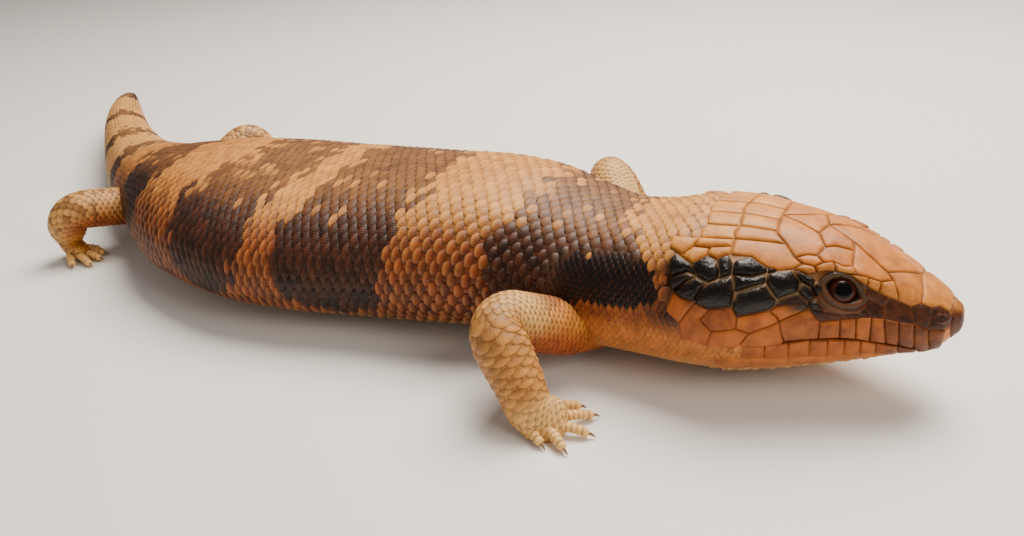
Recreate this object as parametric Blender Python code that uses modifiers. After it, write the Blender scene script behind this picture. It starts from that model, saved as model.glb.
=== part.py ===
# A western blue-tongued skink at life size, resting with its belly on the floor.
# Head towards +X, back up, floor at z = 0, origin under the middle of the whole animal.
import math

import bmesh
import bpy
import numpy as np
from mathutils import Matrix, Vector

MM = 0.001
CRUMB = 0.000004          # crumbs under this size along a cut are welded, m
GAP = 0.3                 # clear space between pieces that touch, mm
SNOUT = (201.4, -16.3)    # where the tip of the snout stands on the floor plan, mm

# Divisions of the body, mm behind the snout
HEAD_END = 70.0
NECK_END = 88.0
CHEST_END = 135.0
BELLY_END = 195.0
VENT = 270.0
TAIL_BASE_END = 325.0
TAIL_MIDDLE_END = 380.0
TAIL_TIP = 436.0

# Heading of the spine from snout to tail: mm behind the snout, degrees off -X
TURNS = ((0, 2), (66, 2), (90, -7.5), (114, -3), (157, 7), (214, 3),
         (272, -22), (312, -30), (364, -37), (436, -44.5))

# Sections of the body: mm behind the snout, half width, height, underside above the floor
SECTIONS = (
    (0, 3.6, 6.4, 19.5), (3, 7.8, 11.2, 17), (6, 10, 14.5, 15.5), (10.5, 12.7, 19, 13.7),
    (16, 15, 24, 11.6), (24, 18, 30.5, 9), (32, 21, 34.8, 6.8), (40, 24.3, 37.5, 5),
    (50, 27.4, 39.4, 3.6), (60, 27.3, 39.5, 2.7), (72, 26, 37.5, 2.3), (84, 26.2, 36.4, 2),
    (98, 29, 38, 1.7), (114, 34.2, 40.8, 1.2), (130, 37.8, 41.8, 0.2), (150, 40.2, 41.2, -0.6),
    (175, 44, 39.8, -0.6), (192, 44.8, 39.2, -0.6), (210, 41.6, 39.6, -0.6), (228, 35.8, 39.4, -0.6),
    (245, 27, 37.4, -0.6), (258, 21.6, 34.8, -0.6), (272, 18.6, 32.4, -0.5), (290, 16, 29, -0.3),
    (312, 13.2, 25, 1.4), (337, 10.6, 21.4, 4), (364, 8.8, 18, 6.4), (395, 6.6, 13, 9),
    (421, 3.8, 7.2, 11.4), (433, 1.6, 3, 12.6), (436, 0.5, 0.9, 13))
SIDE_POWER = 0.86         # below 1 makes a section squarer at the sides
CROWN_POWER = 0.95
MIDDLE = 0.45             # height of the widest line, of the section's height

# Soft forms of the head: mm behind the snout, degrees round from the crown, reach of each, rise
HEAD_FORMS = (
    (48, 58, 13, 16, 1.4),    # the swelling temple
    (13, 57, 6, 9, -1.0),     # the hollow before the eye
    (24, 40, 8, 6, 0.7),      # the brow
    (20, 0, 12, 12, 0.4),     # the forehead
    (40, 0, 14, 10, -0.5),    # the hollow behind it
    (46, 92, 8, 12, 1.0),     # the corner of the jaw
    (64, 66, 6, 12, -1.2),    # the dip behind the ear
)
# Mouth line: mm behind the snout, height
MOUTH = ((-8, 17.6), (4, 17.6), (11, 19.3), (15, 20.3), (20, 21.2), (28, 21.2), (34, 20.3), (40, 20),
         (48, 20.3))
JAW_FOOT = (57, -4)       # where the cut behind the jaw leaves the throat: mm behind the snout, height
LIP_RISE = 2.6            # centres of the lip shields above and below the mouth, mm

EYE = (24.4, 54)          # mm behind the snout, degrees round from the crown
EYE_RADIUS = 4.5
EYE_SUNK = 3.4            # centre of the ball under the skin
LID = 0.7                 # thickness of the lids over the ball
LID_HEIGHT = 0.92         # height of the lids' swelling, of its length
EYE_OPENING = (3.7, 6, 2.6)   # half length, depth and half height
OPENING_OUT = 5.0         # the opening's middle, out from the ball's
EAR = (62.4, 57)
EAR_CUP = (1.9, 2.3, 3.8)     # half length, depth and half height
DRUM = (1.1, 0.5, 2.4)
DRUM_SUNK = 1.35
NOSTRIL = (3.2, 58)
NOSTRIL_SIZE = (1.0, 1.0, 0.7)

# Shields of the head: mm behind the snout, degrees from the crown
MIDDLE_SHIELDS = ((5.2, 0), (17, 0), (28.6, 0), (37.6, 0))
CROWN_SHIELDS = (
    (11.3, 25), (19.6, 24), (26.8, 29), (25.8, 13), (35.6, 20), (2.6, 36),
    (16.5, 39), (21.5, 41), (25.8, 41), (29.4, 40), (33, 38),
    (46.5, 9), (54.5, 9), (63, 9), (45.2, 21), (53.4, 24), (61.6, 26),
    (40.4, 31), (46, 34), (51.4, 36), (57, 38), (63, 41))
FACE_SHIELDS = ((7.8, 56), (12.4, 58), (17, 58), (20.5, 70), (25.5, 71), (30.6, 66), (30.8, 52))
TEMPLE_SHIELDS = (
    (37.6, 43), (44.2, 45), (51, 46), (57.6, 49),
    (35.4, 54), (41.6, 57), (48.2, 57), (54.8, 59),
    (36.8, 68), (43.6, 69), (50.4, 69), (57, 70))
LIP_STATIONS = (5.6, 8.6, 11.6, 14.6, 17.7, 20.9, 24.6, 29.4, 35.6, 42.6)
CHEEK_SHIELDS = ((32.5, 76), (39.5, 79), (46.5, 79), (51, 87))
PLAIN_PATCHES = ((3, 62), (57, 82), (66, 60), (67, 80), (57, 98), (67, 100), (50, 104))
THROAT = ((8, 20, 32, 44, 56, 67), (128, 148, 168))    # rows of plain patches: stations and angles
CHIN = (1.5, 90)          # the shield at the front of the lips
SHIELD_RISE = 0.5
LOW_RISE = 0.35           # of the thin shields of the face and lips
TEMPLE_RISE = 0.9
TEMPLE_TILT = 0.06        # the temple's shields stand up towards the tail
GROOVE = 0.45             # width of the slope at a shield's edge
LEAST_TOP = 0.45          # share of a small shield that its raised top keeps
ROUND_SCALE = 0.36        # mm on the flat hide for one degree round the head
NEIGHBOURS = 40.0         # how far off another shield can still bound one, mm
SHORT_EDGE = 0.3          # edges of the flat hide under this are closed up, mm
FOLD_TURNS = range(-150, 180, 30)         # extra cuts that let the flat hide follow the head
FOLD_STATIONS = (10, 22, 34, 46, 58)
SNOUT_DOME = ((0.8, 0.6), (0.55, 0.3))    # steps of the rounded tip: share of size, mm forward

BODY_SIDES = 28
TAIL_SIDES = 18
LIMB_SIDES = 12
TOE_SIDES = 7

COLOURS = {
    "tan": (0.42, 0.27, 0.13, 1), "cream": (0.62, 0.43, 0.19, 1), "brown": (0.07, 0.035, 0.02, 1),
    "sand": (0.5, 0.33, 0.15, 1), "grey": (0.3, 0.24, 0.18, 1), "eye": (0.05, 0.015, 0.01, 1),
    "drum": (0.1, 0.05, 0.03, 1), "orange": (0.55, 0.3, 0.12, 1)}

# Limbs: mm behind the snout of the root, then forward, outward and up from the spine's foot there
FORE_ROOT = 86.0
HIND_ROOT = 262.0
FORE_START = (4, 14, 7)
HIND_START = (0, 6, 13.5)
FORE_RADII = (4.8, 7.3, 6.3, 6.7, 6.1, 5.5)    # root, upper arm, elbow, below it, forearm, wrist
HIND_RADII = (8.0, 6.6, 6.2, 5.9, 4.8, 4.4)
LIMBS = {
    "fore_right": dict(side=-1, elbow=(-7.6, 47.6, 25.1), wrist=(7.5, 51.7, 5.5), toward=-2),
    "fore_left": dict(side=1, elbow=(-27.5, 44.5, 29.8), wrist=(-17, 52, 7), toward=6),
    "hind_right": dict(side=-1, elbow=(-4, 38, 19.6), wrist=(-9, 38, 6.5), toward=-20),
    "hind_left": dict(side=1, elbow=(-9, 38, 27), wrist=(-2, 44, 6.5), toward=10)}
BEND = 8.5                # how far from its corner an elbow starts to bend
WRIST_HEIGHT = 0.8        # height of a wrist, of its width
# Palm from the wrist: mm forward, height above the floor, width of the wrist's, half height
PALM = ((3.0, 3.4, 1.1, 3.3), (5.6, 2.7, 1.0, 2.5), (7.2, 2.4, 0.66, 1.6))
HAND_LEAN = 0.32          # how far the palm of a hand turns inward, mm for each mm forward
# Toes from the inner to the outer: forward and inward of the wrist, mm, first the root, then the tip
FINGERS = (((0.8, 7.2), (6.1, 12.4)), ((3.6, 3.4), (10.6, 10.8)), ((4.6, 1.0), (13.1, 3.9)),
           ((2.6, 0.2), (10.8, -3.9)), ((-0.6, -2.6), (5.3, -5.0)))
TOES = (((1.8, 2.6), (5.8, 6.4)), ((2.6, 1.5), (10.0, 4.9)), ((3.2, 0.2), (12.8, 1.0)),
        ((2.6, -1.3), (13.2, -3.8)), ((1.6, -2.6), (7.6, -6.8)))
TOE_HEIGHTS = (2.4, 1.25)     # middle of the root and of the tip
TOE_ARCH = 0.7
TOE_RADIUS = 1.25
# Rings of a toe: share of the way to its tip, share of the radius
TOE_TAPER = ((0.15, 1.1), (0.5, 1.05), (0.75, 1.0), (0.92, 0.9), (1.0, 0.5))
# Rings of a claw: mm past the toe's tip, rise, radius
CLAW = ((-0.8, 0.2, 0.62), (0.7, 0.05, 0.48), (1.3, -0.3, 0.32), (1.7, -0.62, 0.14))
CLAW_SIDES = 6
OVERRUN = 1.0             # how far a limb's mesh runs past the cut that ends it
LIMB_CUT = (74, 320)      # stretch of the body that the limbs are cut to

FLOOR = Vector((0, 0, 0))
DOWN = Vector((0, 0, -1))


def smooth(points, column, x):
    """Smooth curve through the points of a list, with no overshoot between them."""
    xs = np.array([p[0] for p in points], float)
    ys = np.array([p[column] for p in points], float)
    x = np.clip(np.asarray(x, float), xs[0], xs[-1])
    step = np.diff(xs)
    slope = np.diff(ys) / step
    grade = np.concatenate([[slope[0]], np.zeros(len(xs) - 2), [slope[-1]]])
    for i in range(1, len(xs) - 1):
        if slope[i - 1] * slope[i] > 0:
            near, far = 2 * step[i] + step[i - 1], step[i] + 2 * step[i - 1]
            grade[i] = (near + far) / (near / slope[i - 1] + far / slope[i])
    i = np.clip(np.searchsorted(xs, x) - 1, 0, len(step) - 1)
    t = (x - xs[i]) / step[i]
    return ((1 + 2 * t) * (1 - t) ** 2 * ys[i] + t * (1 - t) ** 2 * step[i] * grade[i]
            + t * t * (3 - 2 * t) * ys[i + 1] + t * t * (t - 1) * step[i] * grade[i + 1])


def spine_path():
    """Floor plan of the spine at every half millimetre."""
    along = np.arange(-10, TAIL_TIP + 2, 0.5)
    heading = np.radians(180 + smooth(TURNS, 1, along))
    middle = (heading[1:] + heading[:-1]) / 2
    x = np.concatenate([[0], np.cumsum(np.cos(middle) * 0.5)])
    y = np.concatenate([[0], np.cumsum(np.sin(middle) * 0.5)])
    start = np.searchsorted(along, 0)
    return along, x - x[start] + SNOUT[0], y - y[start] + SNOUT[1], heading


SPINE = spine_path()


def spine_frame(s):
    """Foot of the spine, and the directions to the tail and to the animal's left."""
    along, x, y, heading = SPINE
    turn = np.interp(s, along, heading)
    foot = np.stack([np.interp(s, along, x), np.interp(s, along, y)], -1)
    tail = np.stack([np.cos(turn), np.sin(turn)], -1)
    left = np.stack([np.sin(turn), -np.cos(turn)], -1)
    return foot, tail, left


def power(value, exponent):
    return np.sign(value) * np.abs(value) ** exponent


def section_point(s, angle):
    """Point of the plain body, mm; the angle is in degrees from the crown, positive to the right."""
    s, angle = np.broadcast_arrays(np.asarray(s, float), np.asarray(angle, float))
    width, height, under = (smooth(SECTIONS, c, s) for c in (1, 2, 3))
    turn = np.radians(angle)
    out = -width * power(np.sin(turn), SIDE_POWER)
    rise = np.cos(turn)
    reach = np.where(rise > 0, 1 - MIDDLE, MIDDLE)
    up = under + height * (MIDDLE + reach * power(rise, CROWN_POWER))
    foot, _, left = spine_frame(s)
    flat = foot + left * out[..., None]
    return np.concatenate([flat, up[..., None]], -1)


def head_form(s, angle):
    """Rise of the head's soft forms over the plain section, mm."""
    total = np.zeros(np.broadcast(s, angle).shape)
    for station, turn, length, spread, rise in HEAD_FORMS:
        total = total + rise * np.exp(-((s - station) / length) ** 2 - ((np.abs(angle) - turn) / spread) ** 2)
    return total


def outward(s, angle):
    """Unit normal of the plain body."""
    along = section_point(s + 0.3, angle) - section_point(s - 0.3, angle)
    around = section_point(s, angle + 1) - section_point(s, angle - 1)
    normal = np.cross(along, around)
    return normal / np.linalg.norm(normal, axis=-1, keepdims=True)


def skin_point(s, angle, lift=0.0):
    """Point of the body's surface, mm, raised by the lift."""
    s, angle, lift = np.broadcast_arrays(*(np.asarray(v, float) for v in (s, angle, lift)))
    rise = head_form(s, angle) + lift
    inner = np.clip(s, 0.4, TAIL_TIP - 0.4)
    return section_point(s, angle) + outward(inner, angle) * rise[..., None]


def frame_point(s, forward, side_out, up, side):
    """Point given by forward, outward and up from the spine's foot, mm; side is 1 on the left."""
    foot, tail, left = spine_frame(s)
    flat = foot - tail * forward + left * side_out * side
    return Vector((flat[0], flat[1], up))


def material(name):
    if name in bpy.data.materials:
        return bpy.data.materials[name]
    made = bpy.data.materials.new(name)
    made.use_nodes = True
    shader = made.node_tree.nodes["Principled BSDF"]
    shader.inputs["Base Color"].default_value = COLOURS[name]
    shader.inputs["Roughness"].default_value = 0.12 if name == "eye" else 0.45
    shader.inputs["Metallic"].default_value = 0.0
    return made


def new_object(name, bm, colour, collection):
    """Object from a mesh in millimetres, stored in metres."""
    bmesh.ops.scale(bm, vec=(MM, MM, MM), verts=bm.verts)
    mesh = bpy.data.meshes.new(name)
    bm.to_mesh(mesh)
    bm.free()
    obj = bpy.data.objects.new(name, mesh)
    collection.objects.link(obj)
    mesh.materials.append(material(colour))
    mesh.shade_smooth()
    mesh.set_sharp_from_angle(angle=math.radians(40))
    return obj


def loft(rings):
    """Closed body through rings of points, each ring a list of positions."""
    bm = bmesh.new()
    before = None
    first = None
    for points in rings:
        made = bmesh.ops.create_circle(bm, segments=len(points), radius=1)["verts"]
        for vert, place in zip(made, points):
            vert.co = place
        edges = list({e for v in made for e in v.link_edges})
        if before is None:
            first = edges
        else:
            bmesh.ops.bridge_loops(bm, edges=before + edges)
        before = edges
    bmesh.ops.holes_fill(bm, edges=first + before, sides=0)
    bmesh.ops.recalc_face_normals(bm, faces=bm.faces)
    return bm


def cut_off(bm, place, beyond):
    """Take off what lies beyond a plane and close the flat that is left."""
    geometry = bm.verts[:] + bm.edges[:] + bm.faces[:]
    done = bmesh.ops.bisect_plane(bm, geom=geometry, dist=1e-5, plane_co=place, plane_no=beyond,
                                  clear_outer=True)
    edges = [e for e in done["geom_cut"] if isinstance(e, bmesh.types.BMEdge)]
    if edges:
        bmesh.ops.holes_fill(bm, edges=edges, sides=0)
    return bm


def body_rings(start, end, pitch, sides, lift=0.0):
    count = max(2, round((end - start) / pitch) + 1)
    turns = (np.arange(sides) + 0.5) * 360 / sides
    return [[Vector(p) for p in skin_point(s, turns, lift)] for s in np.linspace(start, end, count)]


def body_length(name, start, end, pitch, sides, colour, collection):
    rings = body_rings(start + GAP / 2, end - GAP / 2, pitch, sides)
    return new_object(name, cut_off(loft(rings), FLOOR, DOWN), colour, collection)


def freeze(obj):
    """Give an object its evaluated mesh, with crumbs along the cuts welded, and drop its modifiers."""
    graph = bpy.context.evaluated_depsgraph_get()
    mesh = bpy.data.meshes.new_from_object(obj.evaluated_get(graph))
    obj.modifiers.clear()
    old = obj.data
    bm = bmesh.new()
    bm.from_mesh(mesh)
    bmesh.ops.remove_doubles(bm, verts=bm.verts, dist=CRUMB)
    bmesh.ops.dissolve_degenerate(bm, edges=bm.edges, dist=CRUMB)
    bmesh.ops.triangulate(bm, faces=bm.faces)
    bm.to_mesh(mesh)
    bm.free()
    obj.data = mesh
    bpy.data.meshes.remove(old)


def boolean(target, operation, cutter=None, group=None):
    """Join or cut with one object, or with a whole collection, and remove what was used."""
    step = target.modifiers.new(operation.title(), "BOOLEAN")
    step.operation = operation
    step.solver = "EXACT"
    if group is not None:
        step.operand_type = "COLLECTION"
        step.collection = group
    else:
        step.object = cutter
    freeze(target)
    for obj in (list(group.objects) if group is not None else [cutter]):
        bpy.data.objects.remove(obj)


def islands(bm):
    """Closed surfaces of a mesh, the largest first."""
    left = set(bm.faces)
    found = []
    while left:
        stack = [left.pop()]
        island = list(stack)
        while stack:
            for edge in stack.pop().edges:
                for face in edge.link_faces:
                    if face in left:
                        left.remove(face)
                        stack.append(face)
                        island.append(face)
        size = abs(sum(f.calc_center_median().dot(f.normal) * f.calc_area() for f in island))
        found.append((size, len(found), island))
    return [entry[2] for entry in sorted(found, reverse=True)]


def keep_island(obj, rank=0):
    bm = bmesh.new()
    bm.from_mesh(obj.data)
    keep = set(islands(bm)[rank])
    bmesh.ops.delete(bm, geom=[f for f in bm.faces if f not in keep], context="FACES")
    bm.to_mesh(obj.data)
    bm.free()


def ball(name, centre, axes, half, colour, group, segments, rings):
    """Egg shape with its half sizes along three axes."""
    bm = bmesh.new()
    bmesh.ops.create_uvsphere(bm, u_segments=segments, v_segments=rings, radius=1)
    turn = Matrix((axes[0] * half[0], axes[1] * half[1], axes[2] * half[2])).transposed()
    bmesh.ops.transform(bm, matrix=Matrix.Translation(centre) @ turn.to_4x4(), verts=bm.verts)
    bmesh.ops.recalc_face_normals(bm, faces=bm.faces)
    return new_object(name, bm, colour, group)


def skin_axes(s, angle):
    """Directions on the skin: along the body to the tail, outward, and up over the crown."""
    normal = Vector(outward(s, angle))
    _, tail, _ = spine_frame(s)
    along = Vector((tail[0], tail[1], 0))
    along = (along - normal * along.dot(normal)).normalized()
    over = normal.cross(along)
    return along, normal, over * (1 if over.z > 0 else -1)


def mouth_angle(s, rise):
    """Degrees from the crown of a point that lies so far above the mouth line."""
    height, under = smooth(SECTIONS, 2, s), smooth(SECTIONS, 3, s)
    drop = (under + height * MIDDLE - smooth(MOUTH, 1, s) - rise) / height
    reach = MIDDLE if drop > 0 else 1 - MIDDLE
    share = min(abs(drop) / reach, 0.98) ** (1 / CROWN_POWER)
    return 90 + math.copysign(math.degrees(math.asin(share)), drop)


def shield_seeds():
    """Middle of every shield and plain patch of the head: station, angle, rise, tilt."""
    half = [(s, a, SHIELD_RISE, 0.0) for s, a in CROWN_SHIELDS + CHEEK_SHIELDS]
    half += [(s, a, LOW_RISE, 0.0) for s, a in FACE_SHIELDS + (CHIN,)]
    half += [(s, a, TEMPLE_RISE, TEMPLE_TILT) for s, a in TEMPLE_SHIELDS]
    half += [(s, mouth_angle(s, LIP_RISE), LOW_RISE, 0.0) for s in LIP_STATIONS]
    half += [(s, mouth_angle(s, -LIP_RISE), LOW_RISE, 0.0) for s in LIP_STATIONS[1:]]
    half += [(s, a, 0.0, 0.0) for s, a in (EYE,) + PLAIN_PATCHES]
    half += [(s, a, 0.0, 0.0) for s in THROAT[0] for a in THROAT[1]]
    middle = [(s, a, SHIELD_RISE, 0.0) for s, a in MIDDLE_SHIELDS]
    return middle + half + [(s, -a, rise, tilt) for s, a, rise, tilt in half]


def hide_sheet():
    """Flat hide of the head, cut half way between neighbouring shields, each shield raised."""
    seeds = shield_seeds()
    spots = [Vector((s, a * ROUND_SCALE, 0)) for s, a, _, _ in seeds]
    wrap = 360 * ROUND_SCALE
    around = spots + [p + Vector((0, turn, 0)) for p in spots for turn in (-wrap, wrap)]
    edge = [(Vector((0, 0, 0)), Vector((-1, 0, 0))), (Vector((HEAD_END - GAP / 2, 0, 0)), Vector((1, 0, 0))),
            (Vector((0, -wrap / 2, 0)), Vector((0, -1, 0))), (Vector((0, wrap / 2, 0)), Vector((0, 1, 0)))]
    sheet = bmesh.new()
    for spot, (s, a, rise, tilt) in zip(spots, seeds):
        cell = bmesh.new()
        bmesh.ops.create_grid(cell, x_segments=1, y_segments=1, size=NEIGHBOURS / 2,
                              matrix=Matrix.Translation(spot))
        near = sorted((p for p in around if 0 < (p - spot).length < NEIGHBOURS),
                      key=lambda p: (p - spot).length)
        for place, normal in [((p + spot) / 2, p - spot) for p in near] + edge:
            geometry = cell.verts[:] + cell.edges[:] + cell.faces[:]
            bmesh.ops.bisect_plane(cell, geom=geometry, dist=1e-4, plane_co=place, plane_no=normal,
                                   clear_outer=True)
        bmesh.ops.remove_doubles(cell, verts=cell.verts, dist=SHORT_EDGE)
        if rise and cell.faces:
            face = bmesh.ops.extrude_discrete_faces(cell, faces=cell.faces[:])["faces"][0]
            centre = face.calc_center_median()
            inner = min((centre - (e.verts[0].co + e.verts[1].co) / 2).length for e in face.edges)
            shrink = max(LEAST_TOP, 1 - GROOVE / inner)
            for vert in face.verts:
                offset = (vert.co - centre) * shrink
                vert.co = centre + offset + Vector((0, 0, rise + tilt * offset.x))
        part = bpy.data.meshes.new("cell")
        cell.to_mesh(part)
        cell.free()
        sheet.from_mesh(part)
        bpy.data.meshes.remove(part)
    bmesh.ops.remove_doubles(sheet, verts=sheet.verts, dist=SHORT_EDGE)
    lines = [((0, a * ROUND_SCALE, 0), (0, 1, 0)) for a in FOLD_TURNS]
    lines += [((s, 0, 0), (1, 0, 0)) for s in FOLD_STATIONS]
    for place, normal in lines:
        geometry = sheet.verts[:] + sheet.edges[:] + sheet.faces[:]
        bmesh.ops.bisect_plane(sheet, geom=geometry, dist=0.12, plane_co=place, plane_no=normal)
    return sheet


def head_solid(collection):
    """Whole head with its shields, before the mouth is cut."""
    bm = hide_sheet()
    bm.verts.ensure_lookup_table()
    flat = np.array([v.co for v in bm.verts])
    places = skin_point(flat[:, 0], flat[:, 1] / ROUND_SCALE, flat[:, 2])
    for vert, place in zip(bm.verts, places):
        vert.co = place
    bmesh.ops.remove_doubles(bm, verts=bm.verts, dist=0.02)
    edges = [e for e in bm.edges if e.is_boundary]
    caps = bmesh.ops.holes_fill(bm, edges=edges, sides=0)["faces"]
    _, tail, _ = spine_frame(0.0)
    front = max(caps, key=lambda f: f.calc_center_median().x)
    for grow, push in SNOUT_DOME:
        face = bmesh.ops.extrude_discrete_faces(bm, faces=[front])["faces"][0]
        centre = face.calc_center_median()
        for vert in face.verts:
            vert.co = centre + (vert.co - centre) * grow - Vector((tail[0], tail[1], 0)) * push
        front = face
    bmesh.ops.triangulate(bm, faces=bm.faces)
    bmesh.ops.recalc_face_normals(bm, faces=bm.faces)
    return new_object("head", bm, "tan", collection)


def mouth_cut(collection):
    """Thin sheet along the mouth line and down behind the jaw."""
    bm = bmesh.new()
    route = [(s, smooth(MOUTH, 1, s)) for s in np.linspace(MOUTH[0][0], MOUTH[-1][0], 12)] + [JAW_FOOT]
    before = None
    for s, z in route:
        vert = bmesh.ops.create_vert(bm, co=frame_point(s, 0, 45, z, -1))["vert"][0]
        if before:
            bm.edges.new((before, vert))
        before = vert
    _, _, left = spine_frame(0.0)
    swept = bmesh.ops.extrude_edge_only(bm, edges=bm.edges)["geom"]
    far = [g for g in swept if isinstance(g, bmesh.types.BMVert)]
    bmesh.ops.translate(bm, verts=far, vec=Vector((left[0], left[1], 0)) * 90)
    bmesh.ops.recalc_face_normals(bm, faces=bm.faces)
    cutter = new_object("mouth_cut", bm, "drum", collection)
    wall = cutter.modifiers.new("Wall", "SOLIDIFY")
    wall.thickness = (GAP + 0.05) * MM
    wall.offset = 0
    freeze(cutter)
    return cutter


def build_head(collection, scratch):
    """Head with its sockets, ears and nostrils, parted from the lower jaw along the mouth."""
    head = head_solid(collection)
    for side, word in ((1, "right"), (-1, "left")):
        along, normal, over = skin_axes(EYE[0], EYE[1] * side)
        axes = (along, normal, over)
        centre = Vector(skin_point(EYE[0], EYE[1] * side)) - normal * EYE_SUNK
        socket = EYE_RADIUS + GAP
        lid = socket + LID
        swelling = (lid, lid, lid * LID_HEIGHT)
        boolean(head, "UNION", ball("lid", centre, axes, swelling, "tan", scratch, 20, 12))
        boolean(head, "DIFFERENCE", ball("socket", centre, axes, (socket,) * 3, "tan", scratch, 18, 10))
        out = centre + normal * OPENING_OUT
        boolean(head, "DIFFERENCE", ball("opening", out, axes, EYE_OPENING, "tan", scratch, 16, 8))
        ball("eye_" + word, centre, (along, over, normal), (EYE_RADIUS,) * 3, "eye", collection, 18, 10)
        axes = skin_axes(EAR[0], EAR[1] * side)
        place = Vector(skin_point(EAR[0], EAR[1] * side))
        boolean(head, "DIFFERENCE", ball("cup", place, axes, EAR_CUP, "tan", scratch, 12, 8))
        ball("ear_" + word, place - axes[1] * DRUM_SUNK, axes, DRUM, "drum", collection, 10, 6)
        place = Vector(skin_point(NOSTRIL[0], NOSTRIL[1] * side))
        boolean(head, "DIFFERENCE", ball("nostril", place, skin_axes(NOSTRIL[0], NOSTRIL[1] * side),
                                         NOSTRIL_SIZE, "tan", scratch, 10, 6))
    boolean(head, "DIFFERENCE", mouth_cut(scratch))
    jaw = head.copy()
    jaw.data = head.data.copy()
    jaw.name = "lower_jaw"
    collection.objects.link(jaw)
    keep_island(head, 0)
    keep_island(jaw, 1)
    jaw.data.materials.clear()
    jaw.data.materials.append(material("orange"))


def limb_points(spec, root, start):
    """Centre line of a limb: root, bend, wrist and the line of the hand."""
    side = spec["side"]
    begin = frame_point(root, start[0], start[1], start[2], side)
    elbow = frame_point(root, *spec["elbow"], side)
    wrist = frame_point(root, *spec["wrist"], side)
    _, tail, left = spine_frame(root)
    turn = math.radians(spec["toward"])
    flat = -tail * math.cos(turn) + left * side * math.sin(turn)
    return begin, elbow, wrist, Vector((flat[0], flat[1], 0)).normalized()


def bend_points(before, corner, after, reach, count):
    first = corner + (before - corner).normalized() * reach
    last = corner + (after - corner).normalized() * reach
    return [first.lerp(corner, t).lerp(corner.lerp(last, t), t) for t in np.linspace(0, 1, count)]


def ring_at(centre, tangent, width, height, sides):
    side = tangent.cross(Vector((0, 0, 1))).normalized()
    over = side.cross(tangent).normalized()
    turns = [math.tau * k / sides for k in range(sides)]
    return [centre + side * width * math.cos(t) + over * height * math.sin(t) for t in turns]


def tube_rings(points, radii, sides):
    """Rings across a line of points; a radius may also be a half width and a half height."""
    rings = []
    for i, (centre, radius) in enumerate(zip(points, radii)):
        tangent = (points[min(i + 1, len(points) - 1)] - points[max(i - 1, 0)]).normalized()
        width, height = radius if isinstance(radius, tuple) else (radius, radius)
        rings.append(ring_at(centre, tangent, width, height, sides))
    return rings


def toe(wrist, line, inward, ends, group):
    """One toe from inside the hand to its tip, and its claw."""
    foot = Vector((wrist.x, wrist.y, 0))
    start, tip = (foot + line * forward + inward * inside + Vector((0, 0, height))
                  for (forward, inside), height in zip(ends, TOE_HEIGHTS))
    points = [start.lerp(tip, t) + Vector((0, 0, TOE_ARCH * math.sin(math.pi * t))) for t, _ in TOE_TAPER]
    radii = [TOE_RADIUS * k for _, k in TOE_TAPER]
    new_object("toe", loft(tube_rings(points, radii, TOE_SIDES)), "sand", group)
    way = (tip - start).normalized()
    points = [tip + way * past + Vector((0, 0, rise)) for past, rise, _ in CLAW]
    new_object("claw", loft(tube_rings(points, [entry[2] for entry in CLAW], CLAW_SIDES)), "drum", group)


def build_hand(name, fore, side, wrist, line, across, radius, colour, collection, scratch):
    """Palm cut flat at the wrist and at the floor, with its toes."""
    heel = ring_at(wrist - across * OVERRUN, across, radius, radius * WRIST_HEIGHT, LIMB_SIDES)
    points = [wrist - across * OVERRUN]
    inward = Vector((0, 0, 1)).cross(line) * -side
    lean = HAND_LEAN if fore else 0.0
    for forward, height, _, _ in PALM:
        middle = (line + inward * lean) * forward
        points.append(Vector((wrist.x, wrist.y, 0)) + middle + Vector((0, 0, height)))
    sizes = [(radius, radius * WRIST_HEIGHT)] + [(radius * width, half) for _, _, width, half in PALM]
    rings = [heel] + tube_rings(points, sizes, LIMB_SIDES)[1:]
    palm = cut_off(loft(rings), wrist + across * GAP / 2, -across)
    hand = new_object(name, palm, colour, collection)
    group = bpy.data.collections.new("toes")
    scratch.children.link(group)
    for ends in FINGERS if fore else TOES:
        toe(wrist, line, inward, ends, group)
    boolean(hand, "UNION", group=group)
    bpy.data.collections.remove(group)
    keep_island(hand)
    bm = bmesh.new()
    bm.from_mesh(hand.data)
    cut_off(bm, FLOOR, DOWN)
    bm.to_mesh(hand.data)
    bm.free()


def build_limb(kind, spec, collection, scratch, body_cut):
    """A limb in three lengths, the first cut to the body's side."""
    fore = kind.startswith("fore")
    root, start, radii = (FORE_ROOT, FORE_START, FORE_RADII) if fore else (HIND_ROOT, HIND_START, HIND_RADII)
    names = ("upper_arm", "forearm", "hand") if fore else ("thigh", "shin", "foot")
    upper_name, lower_name, end_name = (part + "_" + kind.split("_")[1] for part in names)
    colour = "sand" if fore else "grey"
    begin, elbow, wrist, line = limb_points(spec, root, start)
    bend = bend_points(begin, elbow, wrist, BEND, 5)
    middle = bend[2]
    toward = (bend[3] - bend[1]).normalized()
    points = [begin, begin.lerp(bend[0], 0.5)] + bend + [bend[-1].lerp(wrist, 0.5), wrist]
    rings = tube_rings(points, [radii[k] for k in (0, 1, 1, 2, 2, 2, 3, 4, 5)], LIMB_SIDES)
    across = ((wrist - elbow).normalized() + line).normalized()
    rings[-1] = ring_at(wrist + across * OVERRUN, across, radii[5], radii[5] * WRIST_HEIGHT, LIMB_SIDES)
    upper = cut_off(loft(rings[:5]), middle - toward * GAP / 2, toward)
    upper = new_object(upper_name, upper, colour, collection)
    cutter = body_cut.copy()
    cutter.data = body_cut.data.copy()
    scratch.objects.link(cutter)
    boolean(upper, "DIFFERENCE", cutter)
    keep_island(upper)
    lower = cut_off(loft(rings[4:]), middle + toward * GAP / 2, -toward)
    cut_off(lower, wrist - across * GAP / 2, across)
    new_object(lower_name, lower, colour, collection)
    build_hand(end_name, fore, spec["side"], wrist, line, across, radii[5], colour, collection, scratch)


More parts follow.
